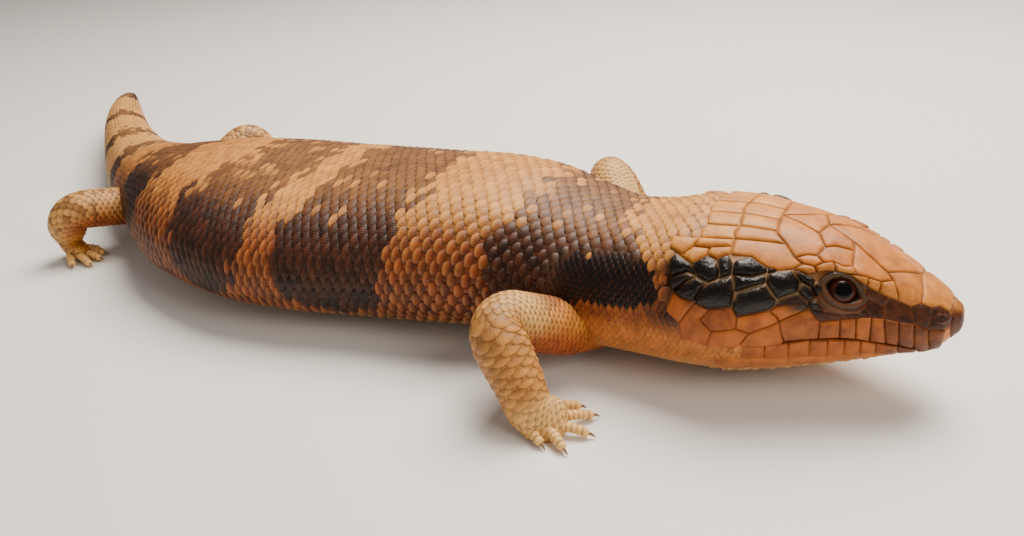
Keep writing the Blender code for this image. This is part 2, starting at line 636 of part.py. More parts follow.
def main():
    for obj in list(bpy.data.objects):
        bpy.data.objects.remove(obj)
    collection = bpy.data.collections.new("skink")
    scratch = bpy.data.collections.new("cutters")
    for group in (collection, scratch):
        bpy.context.scene.collection.children.link(group)
    build_head(collection, scratch)
    body_length("neck", HEAD_END, NECK_END, 6, BODY_SIDES, "cream", collection)
    body_length("torso_front", NECK_END, CHEST_END, 8, BODY_SIDES, "brown", collection)
    body_length("torso_middle", CHEST_END, BELLY_END, 10, BODY_SIDES, "cream", collection)
    body_length("torso_rear", BELLY_END, VENT, 8, BODY_SIDES, "brown", collection)
    body_length("tail_base", VENT, TAIL_BASE_END, 9, TAIL_SIDES, "cream", collection)
    body_length("tail_middle", TAIL_BASE_END, TAIL_MIDDLE_END, 11, TAIL_SIDES, "grey", collection)
    body_length("tail_tip", TAIL_MIDDLE_END, TAIL_TIP, 9, TAIL_SIDES, "cream", collection)
    rings = body_rings(LIMB_CUT[0], LIMB_CUT[1], 8, BODY_SIDES, GAP + 0.05)
    body_cut = new_object("body_cut", loft(rings), "drum", scratch)
    body_cut.hide_render = True
    body_cut.display_type = "WIRE"
    for kind, spec in LIMBS.items():
        build_limb(kind, spec, collection, scratch, body_cut)
    bpy.data.objects.remove(body_cut)


main()
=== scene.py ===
import math

import bmesh
import bpy
import numpy as np
from mathutils import Matrix, Vector


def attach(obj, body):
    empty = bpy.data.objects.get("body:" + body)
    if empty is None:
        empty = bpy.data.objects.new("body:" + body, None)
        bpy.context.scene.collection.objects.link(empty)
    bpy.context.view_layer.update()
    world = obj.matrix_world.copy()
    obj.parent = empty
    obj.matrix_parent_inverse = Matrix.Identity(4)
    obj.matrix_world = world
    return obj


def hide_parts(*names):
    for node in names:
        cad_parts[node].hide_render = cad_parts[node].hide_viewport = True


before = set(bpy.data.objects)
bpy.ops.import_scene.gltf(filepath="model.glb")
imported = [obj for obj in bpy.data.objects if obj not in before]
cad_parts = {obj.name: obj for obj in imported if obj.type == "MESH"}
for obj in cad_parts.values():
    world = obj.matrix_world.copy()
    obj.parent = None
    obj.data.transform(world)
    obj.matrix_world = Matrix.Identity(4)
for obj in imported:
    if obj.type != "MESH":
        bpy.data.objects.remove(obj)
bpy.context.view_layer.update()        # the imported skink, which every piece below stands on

mm = 0.001               # shapes are worked out in millimetres and stored in metres
print("frame loaded:", len(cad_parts), "nodes")


# Colours are picked as screen values and turned into light values here
def paint(red, green, blue):
    return tuple((v / 255 / 12.92 if v <= 10.3 else ((v / 255 + 0.055) / 1.055) ** 2.4) for v in (red, green, blue)) + (1,)


# The body: one winding spine with a section at each station behind the snout
body = {
    "snout": (201.4, -16.3),
    "tailTip": 436.0,
    "turns": ((0, 2), (66, 2), (90, -7.5), (114, -3), (157, 7), (214, 3),
              (272, -22), (312, -30), (364, -37), (436, -44.5)),       # station, degrees off -X
    "sections": (                                                      # station, half width, height, underside
        (0, 3.6, 6.4, 19.5), (3, 7.8, 11.2, 17), (6, 10, 14.5, 15.5), (10.5, 12.7, 19, 13.7),
        (16, 15, 24, 11.6), (24, 18, 30.5, 9), (32, 21, 34.8, 6.8), (40, 24.3, 37.5, 5),
        (50, 27.4, 39.4, 3.6), (60, 27.3, 39.5, 2.7), (72, 26, 37.5, 2.3), (84, 26.2, 36.4, 2),
        (98, 29, 38, 1.7), (114, 34.2, 40.8, 1.2), (130, 37.8, 41.8, 0.2), (150, 40.2, 41.2, -0.6),
        (175, 44, 39.8, -0.6), (192, 44.8, 39.2, -0.6), (210, 41.6, 39.6, -0.6), (228, 35.8, 39.4, -0.6),
        (245, 27, 37.4, -0.6), (258, 21.6, 34.8, -0.6), (272, 18.6, 32.4, -0.5), (290, 16, 29, -0.3),
        (312, 13.2, 25, 1.4), (337, 10.6, 21.4, 4), (364, 8.8, 18, 6.4), (395, 6.6, 13, 9),
        (421, 3.8, 7.2, 11.4), (433, 1.6, 3, 12.6), (436, 0.5, 0.9, 13)),
    "sidePower": 0.86,
    "crownPower": 0.95,
    "middle": 0.45,
    "tip": (3.4, 1.3, 22.6),                                           # arc and depth of the snout's tip, its height
    "floorGap": 0.12,                                                  # the skin keeps this far over the floor
    "forms": (                                                         # station, turn, two reaches, rise
        (48, 58, 13, 16, 1.4), (13, 57, 6, 9, -1.0), (24, 40, 8, 6, 0.7), (20, 0, 12, 12, 0.4),
        (40, 0, 14, 10, -0.5), (46, 92, 8, 12, 1.0), (64, 66, 6, 12, -1.2), (4, 140, 5, 40, 0.9)),
    "mouth": ((-8, 17.6), (4, 17.6), (11, 19.3), (15, 20.3), (20, 21.2), (28, 21.2), (34, 20.3), (40, 20),
              (48, 20.3))}


def smooth(points, column, x):
    xs = np.array([p[0] for p in points], float)
    ys = np.array([p[column] for p in points], float)
    x = np.clip(np.asarray(x, float), xs[0], xs[-1])
    step = np.diff(xs)
    slope = np.diff(ys) / step
    grade = np.concatenate([[slope[0]], np.zeros(len(xs) - 2), [slope[-1]]])
    for i in range(1, len(xs) - 1):
        if slope[i - 1] * slope[i] > 0:
            near, far = 2 * step[i] + step[i - 1], step[i] + 2 * step[i - 1]
            grade[i] = (near + far) / (near / slope[i - 1] + far / slope[i])
    i = np.clip(np.searchsorted(xs, x) - 1, 0, len(step) - 1)
    t = (x - xs[i]) / step[i]
    return ((1 + 2 * t) * (1 - t) ** 2 * ys[i] + t * (1 - t) ** 2 * step[i] * grade[i]
            + t * t * (3 - 2 * t) * ys[i + 1] + t * t * (t - 1) * step[i] * grade[i + 1])


def ease(value, low, high):
    t = np.clip((np.asarray(value, float) - low) / (high - low), 0, 1)
    return t * t * (3 - 2 * t)


def layOutSpine():
    along = np.arange(-10, body["tailTip"] + 2, 0.5)
    heading = np.radians(180 + smooth(body["turns"], 1, along))
    middle = (heading[1:] + heading[:-1]) / 2
    x = np.concatenate([[0], np.cumsum(np.cos(middle) * 0.5)])
    y = np.concatenate([[0], np.cumsum(np.sin(middle) * 0.5)])
    start = np.searchsorted(along, 0)
    return along, x - x[start] + body["snout"][0], y - y[start] + body["snout"][1], heading


spine = layOutSpine()
profile = np.arange(0, body["tailTip"] + 0.2, 0.2)                     # sections read off at every 0.2 mm
profileRows = [smooth(body["sections"], c, profile) for c in (1, 2, 3)]


def spineFrame(s):
    along, x, y, heading = spine
    turn = np.interp(s, along, heading)
    foot = np.stack([np.interp(s, along, x), np.interp(s, along, y)], -1)
    tail = np.stack([np.cos(turn), np.sin(turn)], -1)
    left = np.stack([np.sin(turn), -np.cos(turn)], -1)
    return foot, tail, left


def sectionPoint(s, turn):
    s, turn = np.broadcast_arrays(np.asarray(s, float), np.asarray(turn, float))
    width, height, under = (np.interp(s, profile, row) for row in profileRows)
    angle = np.radians(turn)
    out = -width * np.sign(np.sin(angle)) * np.abs(np.sin(angle)) ** body["sidePower"]
    rise = np.cos(angle)
    reach = np.where(rise > 0, 1 - body["middle"], body["middle"])
    up = under + height * (body["middle"] + reach * np.sign(rise) * np.abs(rise) ** body["crownPower"])
    foot, _, left = spineFrame(s)
    flat = foot + left * out[..., None]
    return np.concatenate([flat, up[..., None]], -1)


def headForm(s, turn):
    total = np.zeros(np.broadcast(s, turn).shape)
    for station, angle, length, spread, rise in body["forms"]:
        total = total + rise * np.exp(-((s - station) / length) ** 2 - ((np.abs(turn) - angle) / spread) ** 2)
    return total


def bodyOut(s, turn):
    s = np.clip(s, 0.4, body["tailTip"] - 0.4)
    along = sectionPoint(s + 0.3, turn) - sectionPoint(s - 0.3, turn)
    around = sectionPoint(s, turn + 1) - sectionPoint(s, turn - 1)
    normal = np.cross(along, around)
    return normal / np.linalg.norm(normal, axis=-1, keepdims=True)


# A point of the body's surface, raised by the lift and never under the floor.
# Stations before the first section run over the rounded tip of the snout.
def bodyPoint(s, turn, lift=0.0):
    s, turn, lift = np.broadcast_arrays(*(np.asarray(v, float) for v in (s, turn, lift)))
    bend = np.clip(-s / body["tip"][0], 0, 1) * math.pi / 2
    foot, tail, _ = spineFrame(np.zeros_like(s))
    start = sectionPoint(np.maximum(s, 0), turn)
    heart = np.concatenate([foot, np.full(s.shape + (1,), body["tip"][2])], -1)
    ahead = -np.concatenate([tail, np.zeros(s.shape + (1,))], -1)
    shrink, push = np.cos(bend)[..., None], (np.sin(bend) * body["tip"][1])[..., None]
    over = (bend > 0)[..., None]
    start = np.where(over, heart + (start - heart) * shrink + ahead * push, start)
    out = np.where(over, unit(bodyOut(s, turn) * shrink + ahead * np.sin(bend)[..., None]), bodyOut(s, turn))
    place = start + out * (headForm(s, turn) + lift)[..., None]
    place[..., 2] = np.maximum(place[..., 2], body["floorGap"])
    return place


def framePoint(s, forward, outward, up, side):
    foot, tail, left = spineFrame(s)
    flat = foot - tail * forward + left * outward * side
    return np.array([flat[0], flat[1], up])


# Degrees from the crown of a point that lies so far above the mouth line
def mouthTurn(s, rise):
    s = np.asarray(s, float)
    height, under = np.interp(s, profile, profileRows[1]), np.interp(s, profile, profileRows[2])
    drop = (under + height * body["middle"] - smooth(body["mouth"], 1, s) - rise) / height
    reach = np.where(drop > 0, body["middle"], 1 - body["middle"])
    share = np.minimum(np.abs(drop) / reach, 0.98) ** (1 / body["crownPower"])
    return 90 + np.sign(drop) * np.degrees(np.arcsin(share))


# Limbs: a smooth line from inside the body through elbow and wrist, with a radius at each share of it
limbs = {
    "foreRight": dict(side=-1, root=86, start=(4, 14, 7), elbow=(-7.6, 47.6, 25.1), wrist=(7.5, 51.7, 5.5), toward=-2),
    "foreLeft": dict(side=1, root=86, start=(4, 14, 7), elbow=(-27.5, 44.5, 29.8), wrist=(-17, 52, 7), toward=6),
    "hindRight": dict(side=-1, root=262, start=(0, 6, 13.5), elbow=(-4, 38, 19.6), wrist=(-9, 38, 6.5), toward=-20),
    "hindLeft": dict(side=1, root=262, start=(0, 6, 13.5), elbow=(-9, 38, 27), wrist=(-2, 44, 6.5), toward=10)}
limbLook = {"bend": 8.5, "foreRadii": (4.8, 7.3, 6.3, 6.7, 6.1, 5.5), "hindRadii": (8.0, 6.6, 6.2, 5.9, 4.8, 4.4),
            "wristHigh": 0.8}
# Palm: forward of the wrist, height, share of the wrist's width, half height. Toes from the inner to the outer:
# forward and inward of the wrist, first the root, then the tip
hands = {
    "palm": ((3.0, 3.4, 1.1, 3.3), (5.6, 2.7, 1.0, 2.5), (7.2, 2.4, 0.66, 1.6), (7.9, 2.3, 0.25, 0.8)), "lean": 0.32,
    "fingers": (((0.8, 7.2), (6.1, 12.4)), ((3.6, 3.4), (10.6, 10.8)), ((4.6, 1.0), (13.1, 3.9)), ((2.6, 0.2), (10.8, -3.9)),
                ((-0.6, -2.6), (5.3, -5.0))),
    "toes": (((1.8, 2.6), (5.8, 6.4)), ((2.6, 1.5), (10.0, 4.9)), ((3.2, 0.2), (12.8, 1.0)), ((2.6, -1.3), (13.2, -3.8)),
             ((1.6, -2.6), (7.6, -6.8))),
    "heights": (2.4, 1.25), "arch": 0.7, "thick": 1.16, "rings": 0.17, "ringPitch": 1.25, "pad": 1.7,
    "claw": ((-0.8, 0.2, 0.5), (0.35, 0.14, 0.42), (0.9, -0.05, 0.32), (1.35, -0.34, 0.18), (1.6, -0.6, 0.05))}


def unit(vector):
    vector = np.asarray(vector, float)
    return vector / np.linalg.norm(vector, axis=-1, keepdims=True)


def layOutLimb(name):
    spec = limbs[name]
    fore = name.startswith("fore")
    begin, elbow, wrist = (framePoint(spec["root"], *spec[k], spec["side"]) for k in ("start", "elbow", "wrist"))
    _, tail, left = spineFrame(spec["root"])
    turn = math.radians(spec["toward"])
    flat = -tail * math.cos(turn) + left * spec["side"] * math.sin(turn)
    flat = unit(np.array([flat[0], flat[1], 0]))
    inward = np.cross((0, 0, 1), flat) * -spec["side"]
    first = elbow + unit(begin - elbow) * limbLook["bend"]
    last = elbow + unit(wrist - elbow) * limbLook["bend"]
    foot = np.array([wrist[0], wrist[1], 0])
    lean = inward * (hands["lean"] if fore else 0)
    palm = [foot + (flat + lean) * forward + np.array([0, 0, height]) for forward, height, _, _ in hands["palm"]]
    t = np.linspace(0, 1, 25)[:, None]
    arc = (1 - t) ** 2 * first + 2 * t * (1 - t) * elbow + t * t * last
    low = np.array([last, (last + wrist) / 2, wrist] + palm)
    keys = np.concatenate([[0], np.cumsum(np.linalg.norm(np.diff(low, axis=0), axis=1))])
    fine = np.linspace(0, keys[-1], 48)[1:]
    low = np.stack([smooth(list(zip(keys, low[:, k])), 1, fine) for k in range(3)], -1)
    line = np.concatenate([begin + (first - begin) * np.linspace(0, 0.97, 30)[:, None], arc, low])
    length = np.concatenate([[0], np.cumsum(np.linalg.norm(np.diff(line, axis=0), axis=1))])
    scale = (length[-1] - length[54]) / keys[-1]
    marks = [0, length[29] * 0.5, length[30], length[42]] + [length[54] + k * scale for k in keys]
    radii = limbLook["foreRadii" if fore else "hindRadii"]
    wide = [radii[k] for k in (0, 1, 1, 2, 3, 4, 5)] + [radii[5] * p[2] for p in hands["palm"]]
    high = [radii[k] for k in (0, 1, 1, 2, 3, 4)] + [radii[5] * limbLook["wristHigh"]] + [p[3] for p in hands["palm"]]
    way = unit(np.gradient(line, axis=0))
    over = [unit(np.array([0, 0, 1.0]) - way[0] * way[0][2])]
    for k in range(1, len(line)):
        over.append(unit(over[-1] - way[k] * over[-1].dot(way[k])))
    over = np.array(over)
    return dict(name=name, fore=fore, side=spec["side"], line=line, length=length, wide=smooth(list(zip(marks, wide)), 1, length),
                high=smooth(list(zip(marks, high)), 1, length), over=over, across=np.cross(way, over), bend=length[42],
                wristAt=marks[6], total=length[-1], wrist=wrist, flat=flat, inward=inward)


# A point of a limb's surface; turn 0 is its upper and outer side
def limbPoint(limb, s, turn, lift=0.0):
    s, turn, lift = np.broadcast_arrays(*(np.asarray(v, float) for v in (s, turn, lift)))
    def at(rows):
        return np.stack([np.interp(s, limb["length"], rows[:, k]) for k in range(3)], -1)
    angle = np.radians(turn)[..., None]
    wide, high = (np.interp(s, limb["length"], limb[k])[..., None] + lift[..., None] for k in ("wide", "high"))
    place = at(limb["line"]) + at(limb["over"]) * np.cos(angle) * high + at(limb["across"]) * np.sin(angle) * wide
    place[..., 2] = np.maximum(place[..., 2], body["floorGap"])
    return place


limbShapes = {name: layOutLimb(name) for name in limbs}
print("body and limbs laid out")


# Mesh helpers
def finishMesh(bm, name, material, smoothAngle=60):
    bmesh.ops.scale(bm, vec=(mm, mm, mm), verts=bm.verts)
    mesh = bpy.data.meshes.new(name)
    bm.to_mesh(mesh)
    bm.free()
    return placeMesh(mesh, name, material, smoothAngle)


def placeMesh(mesh, name, material, smoothAngle=60):
    piece = bpy.data.objects.new(name, mesh)
    bpy.context.scene.collection.objects.link(piece)
    mesh.materials.append(material)
    mesh.shade_smooth()
    if smoothAngle < 180:
        mesh.set_sharp_from_angle(angle=math.radians(smoothAngle))
    return piece


def wrapGrid(rows, columns, place):
    # a grid rolled into a tube: place(row, column shares) gives the points
    bm = bmesh.new()
    bmesh.ops.create_grid(bm, x_segments=rows - 1, y_segments=columns, size=0.5)
    co = np.array([v.co for v in bm.verts])
    row = np.rint((co[:, 0] + 0.5) * (rows - 1)).astype(int)
    points = place(row, co[:, 1] + 0.5)
    for vert, point in zip(bm.verts, points):
        vert.co = point
    bmesh.ops.remove_doubles(bm, verts=bm.verts, dist=0.001)
    open_ = [e for e in bm.edges if e.is_boundary]
    bmesh.ops.holes_fill(bm, edges=open_, sides=0)
    bmesh.ops.recalc_face_normals(bm, faces=bm.faces)
    return bm


# The camera stands where the photograph's did
view = {"place": (197, -215, 128.15), "heading": 30, "pitch": 26.92, "roll": -3.22, "focal": 852.24, "width": 1024}


def addCamera():
    camera = bpy.data.objects.new("camera", bpy.data.cameras.new("camera"))
    bpy.context.scene.collection.objects.link(camera)
    camera.data.sensor_width = 36
    camera.data.lens = 36 * view["focal"] / view["width"]
    camera.data.clip_start = 0.01
    turn, pitch, roll = (math.radians(view[k]) for k in ("heading", "pitch", "roll"))
    right = Vector((math.cos(turn), math.sin(turn), 0))
    forward = Vector((-math.sin(turn) * math.cos(pitch), math.cos(turn) * math.cos(pitch), -math.sin(pitch)))
    down = forward.cross(right)
    side = right * math.cos(roll) - down * math.sin(roll)
    over = -(right * math.sin(roll) + down * math.cos(roll))
    pose = Matrix((side, over, -forward)).transposed().to_4x4()
    pose.translation = Vector(view["place"]) * mm
    camera.matrix_world = pose
    bpy.context.scene.camera = camera


# Soft studio light: a broad top light leaning from behind, a side light at the head and a weak front fill
lamps = {
    "top": dict(place=(0.12, 0.28, 0.62), aim=(0.06, 0.0, 0.02), size=0.5, power=13.2, tint=(1.0, 0.93, 0.84), glossy=True),
    "head": dict(place=(0.62, -0.18, 0.42), aim=(0.12, -0.02, 0.02), size=0.32, power=2.2, tint=(1.0, 0.94, 0.86), glossy=False),
    "front": dict(place=(0.1, -0.7, 0.35), aim=(0.05, 0.0, 0.02), size=0.7, power=1.0, tint=(1.0, 0.95, 0.88), glossy=False)}
backdrop = {"floor": (226, 222, 214), "air": (0.97, 0.97, 1.0), "airPower": 0.22}


def addLights():
    for name, look in lamps.items():
        data = bpy.data.lights.new(name, "AREA")
        data.energy, data.size, data.color = look["power"], look["size"], look["tint"]
        lamp = bpy.data.objects.new(name, data)
        bpy.context.scene.collection.objects.link(lamp)
        lamp.location = look["place"]
        lamp.visible_glossy = look["glossy"]
        lamp.rotation_euler = (Vector(look["aim"]) - lamp.location).to_track_quat("-Z", "Y").to_euler()
    world = bpy.data.worlds.new("air")
    bpy.context.scene.world = world
    world.use_nodes = True
    world.node_tree.nodes["Background"].inputs["Color"].default_value = backdrop["air"] + (1,)
    world.node_tree.nodes["Background"].inputs["Strength"].default_value = backdrop["airPower"]


def addFloor():
    bm = bmesh.new()
    bmesh.ops.create_grid(bm, x_segments=2, y_segments=2, size=3)
    mesh = bpy.data.meshes.new("floor")
    bm.to_mesh(mesh)
    bm.free()
    floor = bpy.data.objects.new("floor", mesh)
    bpy.context.scene.collection.objects.link(floor)
    surface = bpy.data.materials.new("paleFloor")
    surface.use_nodes = True
    shader = surface.node_tree.nodes["Principled BSDF"]
    shader.inputs["Base Color"].default_value = paint(*backdrop["floor"])
    shader.inputs["Roughness"].default_value = 0.7
    mesh.materials.append(surface)


addCamera()
addLights()
addFloor()
print("camera, lights and floor set")


# Materials. Every piece carries the attributes "marks" (dark, warm, black) and "relief" (rim, tone, pale)
# The rim channel holds painted groove shade as well as dark scale edges, and the pale channel holds painted edge
# highlights as well as paler hide
def nodeMaker(tree):
    def add(kind, settings=None, **sockets):
        node = tree.nodes.new(kind)
        for key, value in (settings or {}).items():
            setattr(node, key, value)
        for key, value in sockets.items():
            socket = node.inputs[int(key[1:])] if key[0] == "i" and key[1:].isdigit() else node.inputs[key.replace("_", " ")]
            if isinstance(value, bpy.types.NodeSocket):
                tree.links.new(value, socket)
            else:
                socket.default_value = value
        return node
    return add


def sockets(group, entries, ways):
    for names, way in ((entries, "INPUT"), (ways, "OUTPUT")):
        for name, kind in names:
            group.interface.new_socket(name=name, in_out=way, socket_type="NodeSocket" + kind)


def mixOf(add, amount, first, second, kind="MIX"):
    node = add("ShaderNodeMix", {"data_type": "RGBA", "blend_type": kind, "clamp_result": False}, i0=amount, i6=first, i7=second)
    return node.outputs[2]


def mathOf(add, operation, first, second=0.0, third=0.0):
    node = add("ShaderNodeMath", {"operation": operation, "use_clamp": operation == "MULTIPLY_ADD"}, i0=first, i1=second, i2=third)
    return node.outputs[0]


# The two colours for the sides of the body are the hide's own orange made darker and redder with painted shade and
# painted orange bounce light from below
palette = {
    "back": (222, 150, 62), "backDeep": (166, 98, 36), "flankWithShade": (178, 86, 26), "flankDeepWithShade": (96, 38, 11),
    # blackRim is the pale upper rim of the black scales, partly brownish edge and partly painted highlight
    "band": (86, 42, 21), "bandDeep": (24, 11, 6), "black": (10, 7, 6), "edge": (26, 11, 5), "blackRim": (226, 178, 128),
    "belly": (228, 182, 110)}


def scaleColours():
    group = bpy.data.node_groups.new("scaleColours", "ShaderNodeTree")
    sockets(group, [("Marks", "Color"), ("Relief", "Color"), ("Place", "Vector")],
            [("Colour", "Color"), ("Grain", "Float"), ("Gloss", "Float")])
    add = nodeMaker(group)
    given, out = add("NodeGroupInput"), add("NodeGroupOutput")
    marks = add("ShaderNodeSeparateColor", i0=given.outputs[0]).outputs
    relief = add("ShaderNodeSeparateColor", i0=given.outputs[1]).outputs
    cloudy = add("ShaderNodeTexNoise", Vector=given.outputs[2], Scale=260.0, Detail=3.0, Roughness=0.6).outputs[0]
    fine = add("ShaderNodeTexNoise", Vector=given.outputs[2], Scale=1500.0, Detail=2.0, Roughness=0.6).outputs[0]
    tone = relief[1]
    depth = mathOf(add, "MULTIPLY_ADD", add("ShaderNodeMath", {"operation": "SUBTRACT"}, i0=cloudy, i1=0.5).outputs[0], 1.8, tone)
    back = mixOf(add, depth, paint(*palette["back"]), paint(*palette["backDeep"]))
    # the side colours carry painted shade and painted bounce light as well as the hide's orange
    flankWithShade = mixOf(add, depth, paint(*palette["flankWithShade"]), paint(*palette["flankDeepWithShade"]))
    light = mixOf(add, marks[1], back, flankWithShade)
    light = mixOf(add, relief[2], light, paint(*palette["belly"]))
    band = mixOf(add, depth, paint(*palette["band"]), paint(*palette["bandDeep"]))
    rough = add("ShaderNodeMath", {"operation": "SUBTRACT"}, i0=fine, i1=0.5).outputs[0]
    darkness = mathOf(add, "MULTIPLY_ADD", rough, 0.45, marks[0])
    colour = mixOf(add, darkness, light, band)
    colour = mixOf(add, marks[2], colour, paint(*palette["black"]))
    # rims: the edge colour, partly dark scale edges and partly painted groove shade; on black scales a pale rim that is
    # partly a painted highlight
    rim = mathOf(add, "MULTIPLY_ADD", relief[0], 0.8, 0.0)
    rimColour = mixOf(add, marks[2], paint(*palette["edge"]), paint(*palette["blackRim"]))
    colour = mixOf(add, rim, colour, rimColour)
    group.links.new(colour, out.inputs[0])
    grain = add("ShaderNodeMath", {"operation": "MULTIPLY_ADD"}, i0=fine, i1=0.5, i2=cloudy).outputs[0]
    rugged = add("ShaderNodeMath", {"operation": "MULTIPLY_ADD"}, i0=marks[2], i1=5.0, i2=1.0).outputs[0]
    group.links.new(mathOf(add, "MULTIPLY", grain, rugged), out.inputs[1])
    group.links.new(mathOf(add, "MULTIPLY_ADD", marks[2], -0.22, 0.52), out.inputs[2])
    return group


def scaleMaterial(name, group, bump=0.12, coat=0.12, striae=0.0):
    surface = bpy.data.materials.new(name)
    surface.use_nodes = True
    tree = surface.node_tree
    add = nodeMaker(tree)
    shader = tree.nodes["Principled BSDF"]
    marks = add("ShaderNodeAttribute", {"attribute_name": "marks"})
    relief = add("ShaderNodeAttribute", {"attribute_name": "relief"})
    place = add("ShaderNodeTexCoord").outputs["Object"]
    colours = add("ShaderNodeGroup", {"node_tree": group}, i0=marks.outputs[0], i1=relief.outputs[0], i2=place)
    tree.links.new(colours.outputs[0], shader.inputs["Base Color"])
    tree.links.new(colours.outputs[2], shader.inputs["Roughness"])
    height = colours.outputs[1]
    if striae:
        lane = add("ShaderNodeAttribute", {"attribute_name": "lane"})
        waves = add("ShaderNodeTexWave", {"wave_type": "BANDS", "bands_direction": "X", "wave_profile": "SIN"},
                    Vector=lane.outputs[1], Scale=striae, Distortion=0.6, Detail=1.0)
        height = mathOf(add, "ADD", height, mathOf(add, "MULTIPLY", waves.outputs[1], 0.6))
    lift = add("ShaderNodeBump", Height=height, Strength=bump, Distance=0.0004)
    tree.links.new(lift.outputs[0], shader.inputs["Normal"])
    shader.inputs["Coat Weight"].default_value = coat
    shader.inputs["Coat Roughness"].default_value = 0.22
    shader.inputs["Specular IOR Level"].default_value = 0.3
    return surface


colourGroup = scaleColours()
skinFinish = scaleMaterial("skinFinish", colourGroup, 0.3, 0.03)
scaleFinish = scaleMaterial("scaleFinish", colourGroup, 0.18, 0.05, 1.2)
shieldFinish = scaleMaterial("shieldFinish", colourGroup, 0.26, 0.04)
print("materials made")


# Where the dark bands lie: angle from the crown, then front and rear edge of each band behind the snout
bands = (
    ((0, 79, 104), (15, 77, 105), (24, 75.5, 106), (30, 73, 107), (40, 70, 109), (48, 68, 110), (59, 65, 109), (67, 64, 108.5),
     (74, 66, 108), (79, 71, 107), (82, 86, 106.5), (86, 93, 106), (92, 99, 100)),
    ((0, 140, 171), (15, 139, 173), (30, 140, 173), (45, 141, 176), (60, 141, 177), (75, 141, 177), (90, 143, 175),
     (104, 145, 170), (116, 155, 160)),
    ((0, 184, 211), (15, 186, 213), (30, 186, 216), (45, 187, 217), (60, 188, 217), (75, 190, 215), (90, 191, 212),
     (104, 195, 208), (114, 201, 203)),
    ((0, 236, 259), (15, 236, 260), (30, 233, 258), (45, 236, 257), (60, 237, 258), (75, 239, 256), (90, 242, 254), (100, 247, 249)),
    ((0, 277, 289), (30, 276, 288), (60, 275, 287), (90, 277, 285), (110, 280, 282)),
    ((0, 314, 324), (40, 313, 323), (80, 315, 322), (110, 318, 319)),
    ((0, 352, 362), (60, 352, 361), (110, 355, 357)),
    ((0, 402, 436), (90, 404, 436), (180, 408, 436)))


def darkAt(s, turn, wander=0.0):
    s, turn = np.asarray(s, float) + wander, np.abs(np.asarray(turn, float))
    total = np.zeros(np.broadcast(s, turn).shape)
    for rows in bands:
        angles = [r[0] for r in rows]
        front = np.interp(turn, angles, [r[1] for r in rows])
        rear = np.interp(turn, angles, [r[2] for r in rows])
        inside = ease(s, front - 1.0, front + 1.0) * (1 - ease(s, rear - 1.0, rear + 1.0))
        inside = inside * (1 - ease(turn, angles[-1] - 2, angles[-1]) * (angles[-1] < 170))
        total = np.maximum(total, inside)
    return total


# Dark, warm and pale shares of the hide at a place on the body
def hideMarks(s, turn, wander=0.0):
    dark = darkAt(s, turn, wander)
    side = np.abs(np.asarray(turn, float))
    # warm brings in the side colours, which carry painted shade and painted bounce light
    warm = ease(side, 28, 66) * (1 - 0.75 * ease(s, 262, 300))
    pale = 0.4 * ease(side, 112, 140) + 0.3 * ease(s, 262, 300)
    return dark, warm, pale


# Perimeter laid off from the belly line round to it again, so that columns of scales are even
arcTurns = np.arange(-180, 181, 1.5)
arcStations = np.arange(0, body["tailTip"], 2.0)


def measureArcs():
    s, turn = np.meshgrid(arcStations, arcTurns, indexing="ij")
    points = bodyPoint(s, turn)
    steps = np.linalg.norm(np.diff(points, axis=1), axis=-1)
    return np.concatenate([np.zeros((len(arcStations), 1)), np.cumsum(steps, axis=1)], 1)


arcTable = measureArcs()


def arcRow(s):
    k = min(max(s / 2.0, 0), len(arcStations) - 1.001)
    low = int(k)
    return arcTable[low] * (1 - (k - low)) + arcTable[low + 1] * (k - low)


girth = np.array([row[-1] for row in arcTable])                        # round the body at each station


# The eye, the ear and the nostrils: station, turn, and half sizes along and over the head
features = {
    "eye": dict(at=(24.3, 55.5), ball=4.5, sunk=3.4, opening=(3.9, 2.95), tilt=0.17),
    "ear": dict(at=(62.6, 57), half=(1.15, 3.6), deep=2.6),
    "nostril": dict(at=(3.2, 61), half=(0.8, 0.62), deep=0.9)}


def skinAxes(s, turn):
    normal = bodyOut(s, turn)
    _, tail, _ = spineFrame(s)
    along = np.array([tail[0], tail[1], 0])
    along = unit(along - normal * along.dot(normal))
    over = np.cross(normal, along)
    return along, normal, over * (1 if over[2] > 0 else -1)


def featureShare(name, s, turn, grow=1.0):
    # 0 in the middle of a feature and 1 at its edge, by true distances on the skin
    spec = features[name]
    station, angle = spec["at"]
    half = spec.get("opening") or spec["half"]
    perDegree = np.interp(station, arcStations, girth) / 360
    x = (np.asarray(s) - station) / (half[0] * grow)
    y = ((np.abs(turn) - angle) * perDegree + spec.get("tilt", 0) * (np.asarray(s) - station)) / (half[1] * grow)
    return np.sqrt(x * x + y * y)


def skinLift(s, turn):
    lift = np.zeros(np.broadcast(s, turn).shape)
    groove = np.exp(-((np.abs(turn) - mouthTurn(s, 0)) / 3.8) ** 2) * ease(s, 1.5, 5) * (1 - ease(s, 45, 49))
    lift = lift - 1.15 * groove
    lift = lift - 3.2 * (1 - ease(featureShare("eye", s, turn), 0.75, 1.25))
    lift = lift - features["ear"]["deep"] * (1 - ease(featureShare("ear", s, turn), 0.55, 1.1))
    return lift


def buildTrunk():
    rows = np.concatenate([np.array([-3.36, -3, -2.4, -1.6, -0.8]), np.arange(0, 70, 0.75), np.arange(70, 436.1, 1.6)])
    def place(row, share):
        turn = 180 - share * 360
        s = rows[row]
        return bodyPoint(s, turn, skinLift(s, turn))
    return wrapGrid(len(rows), 150, place)


def buildLimbTube(limb):
    rows = np.concatenate([np.arange(0, limb["total"], 1.0), [limb["total"]]])
    def place(row, share):
        return limbPoint(limb, rows[row], share * 360)
    return wrapGrid(len(rows), 36, place)


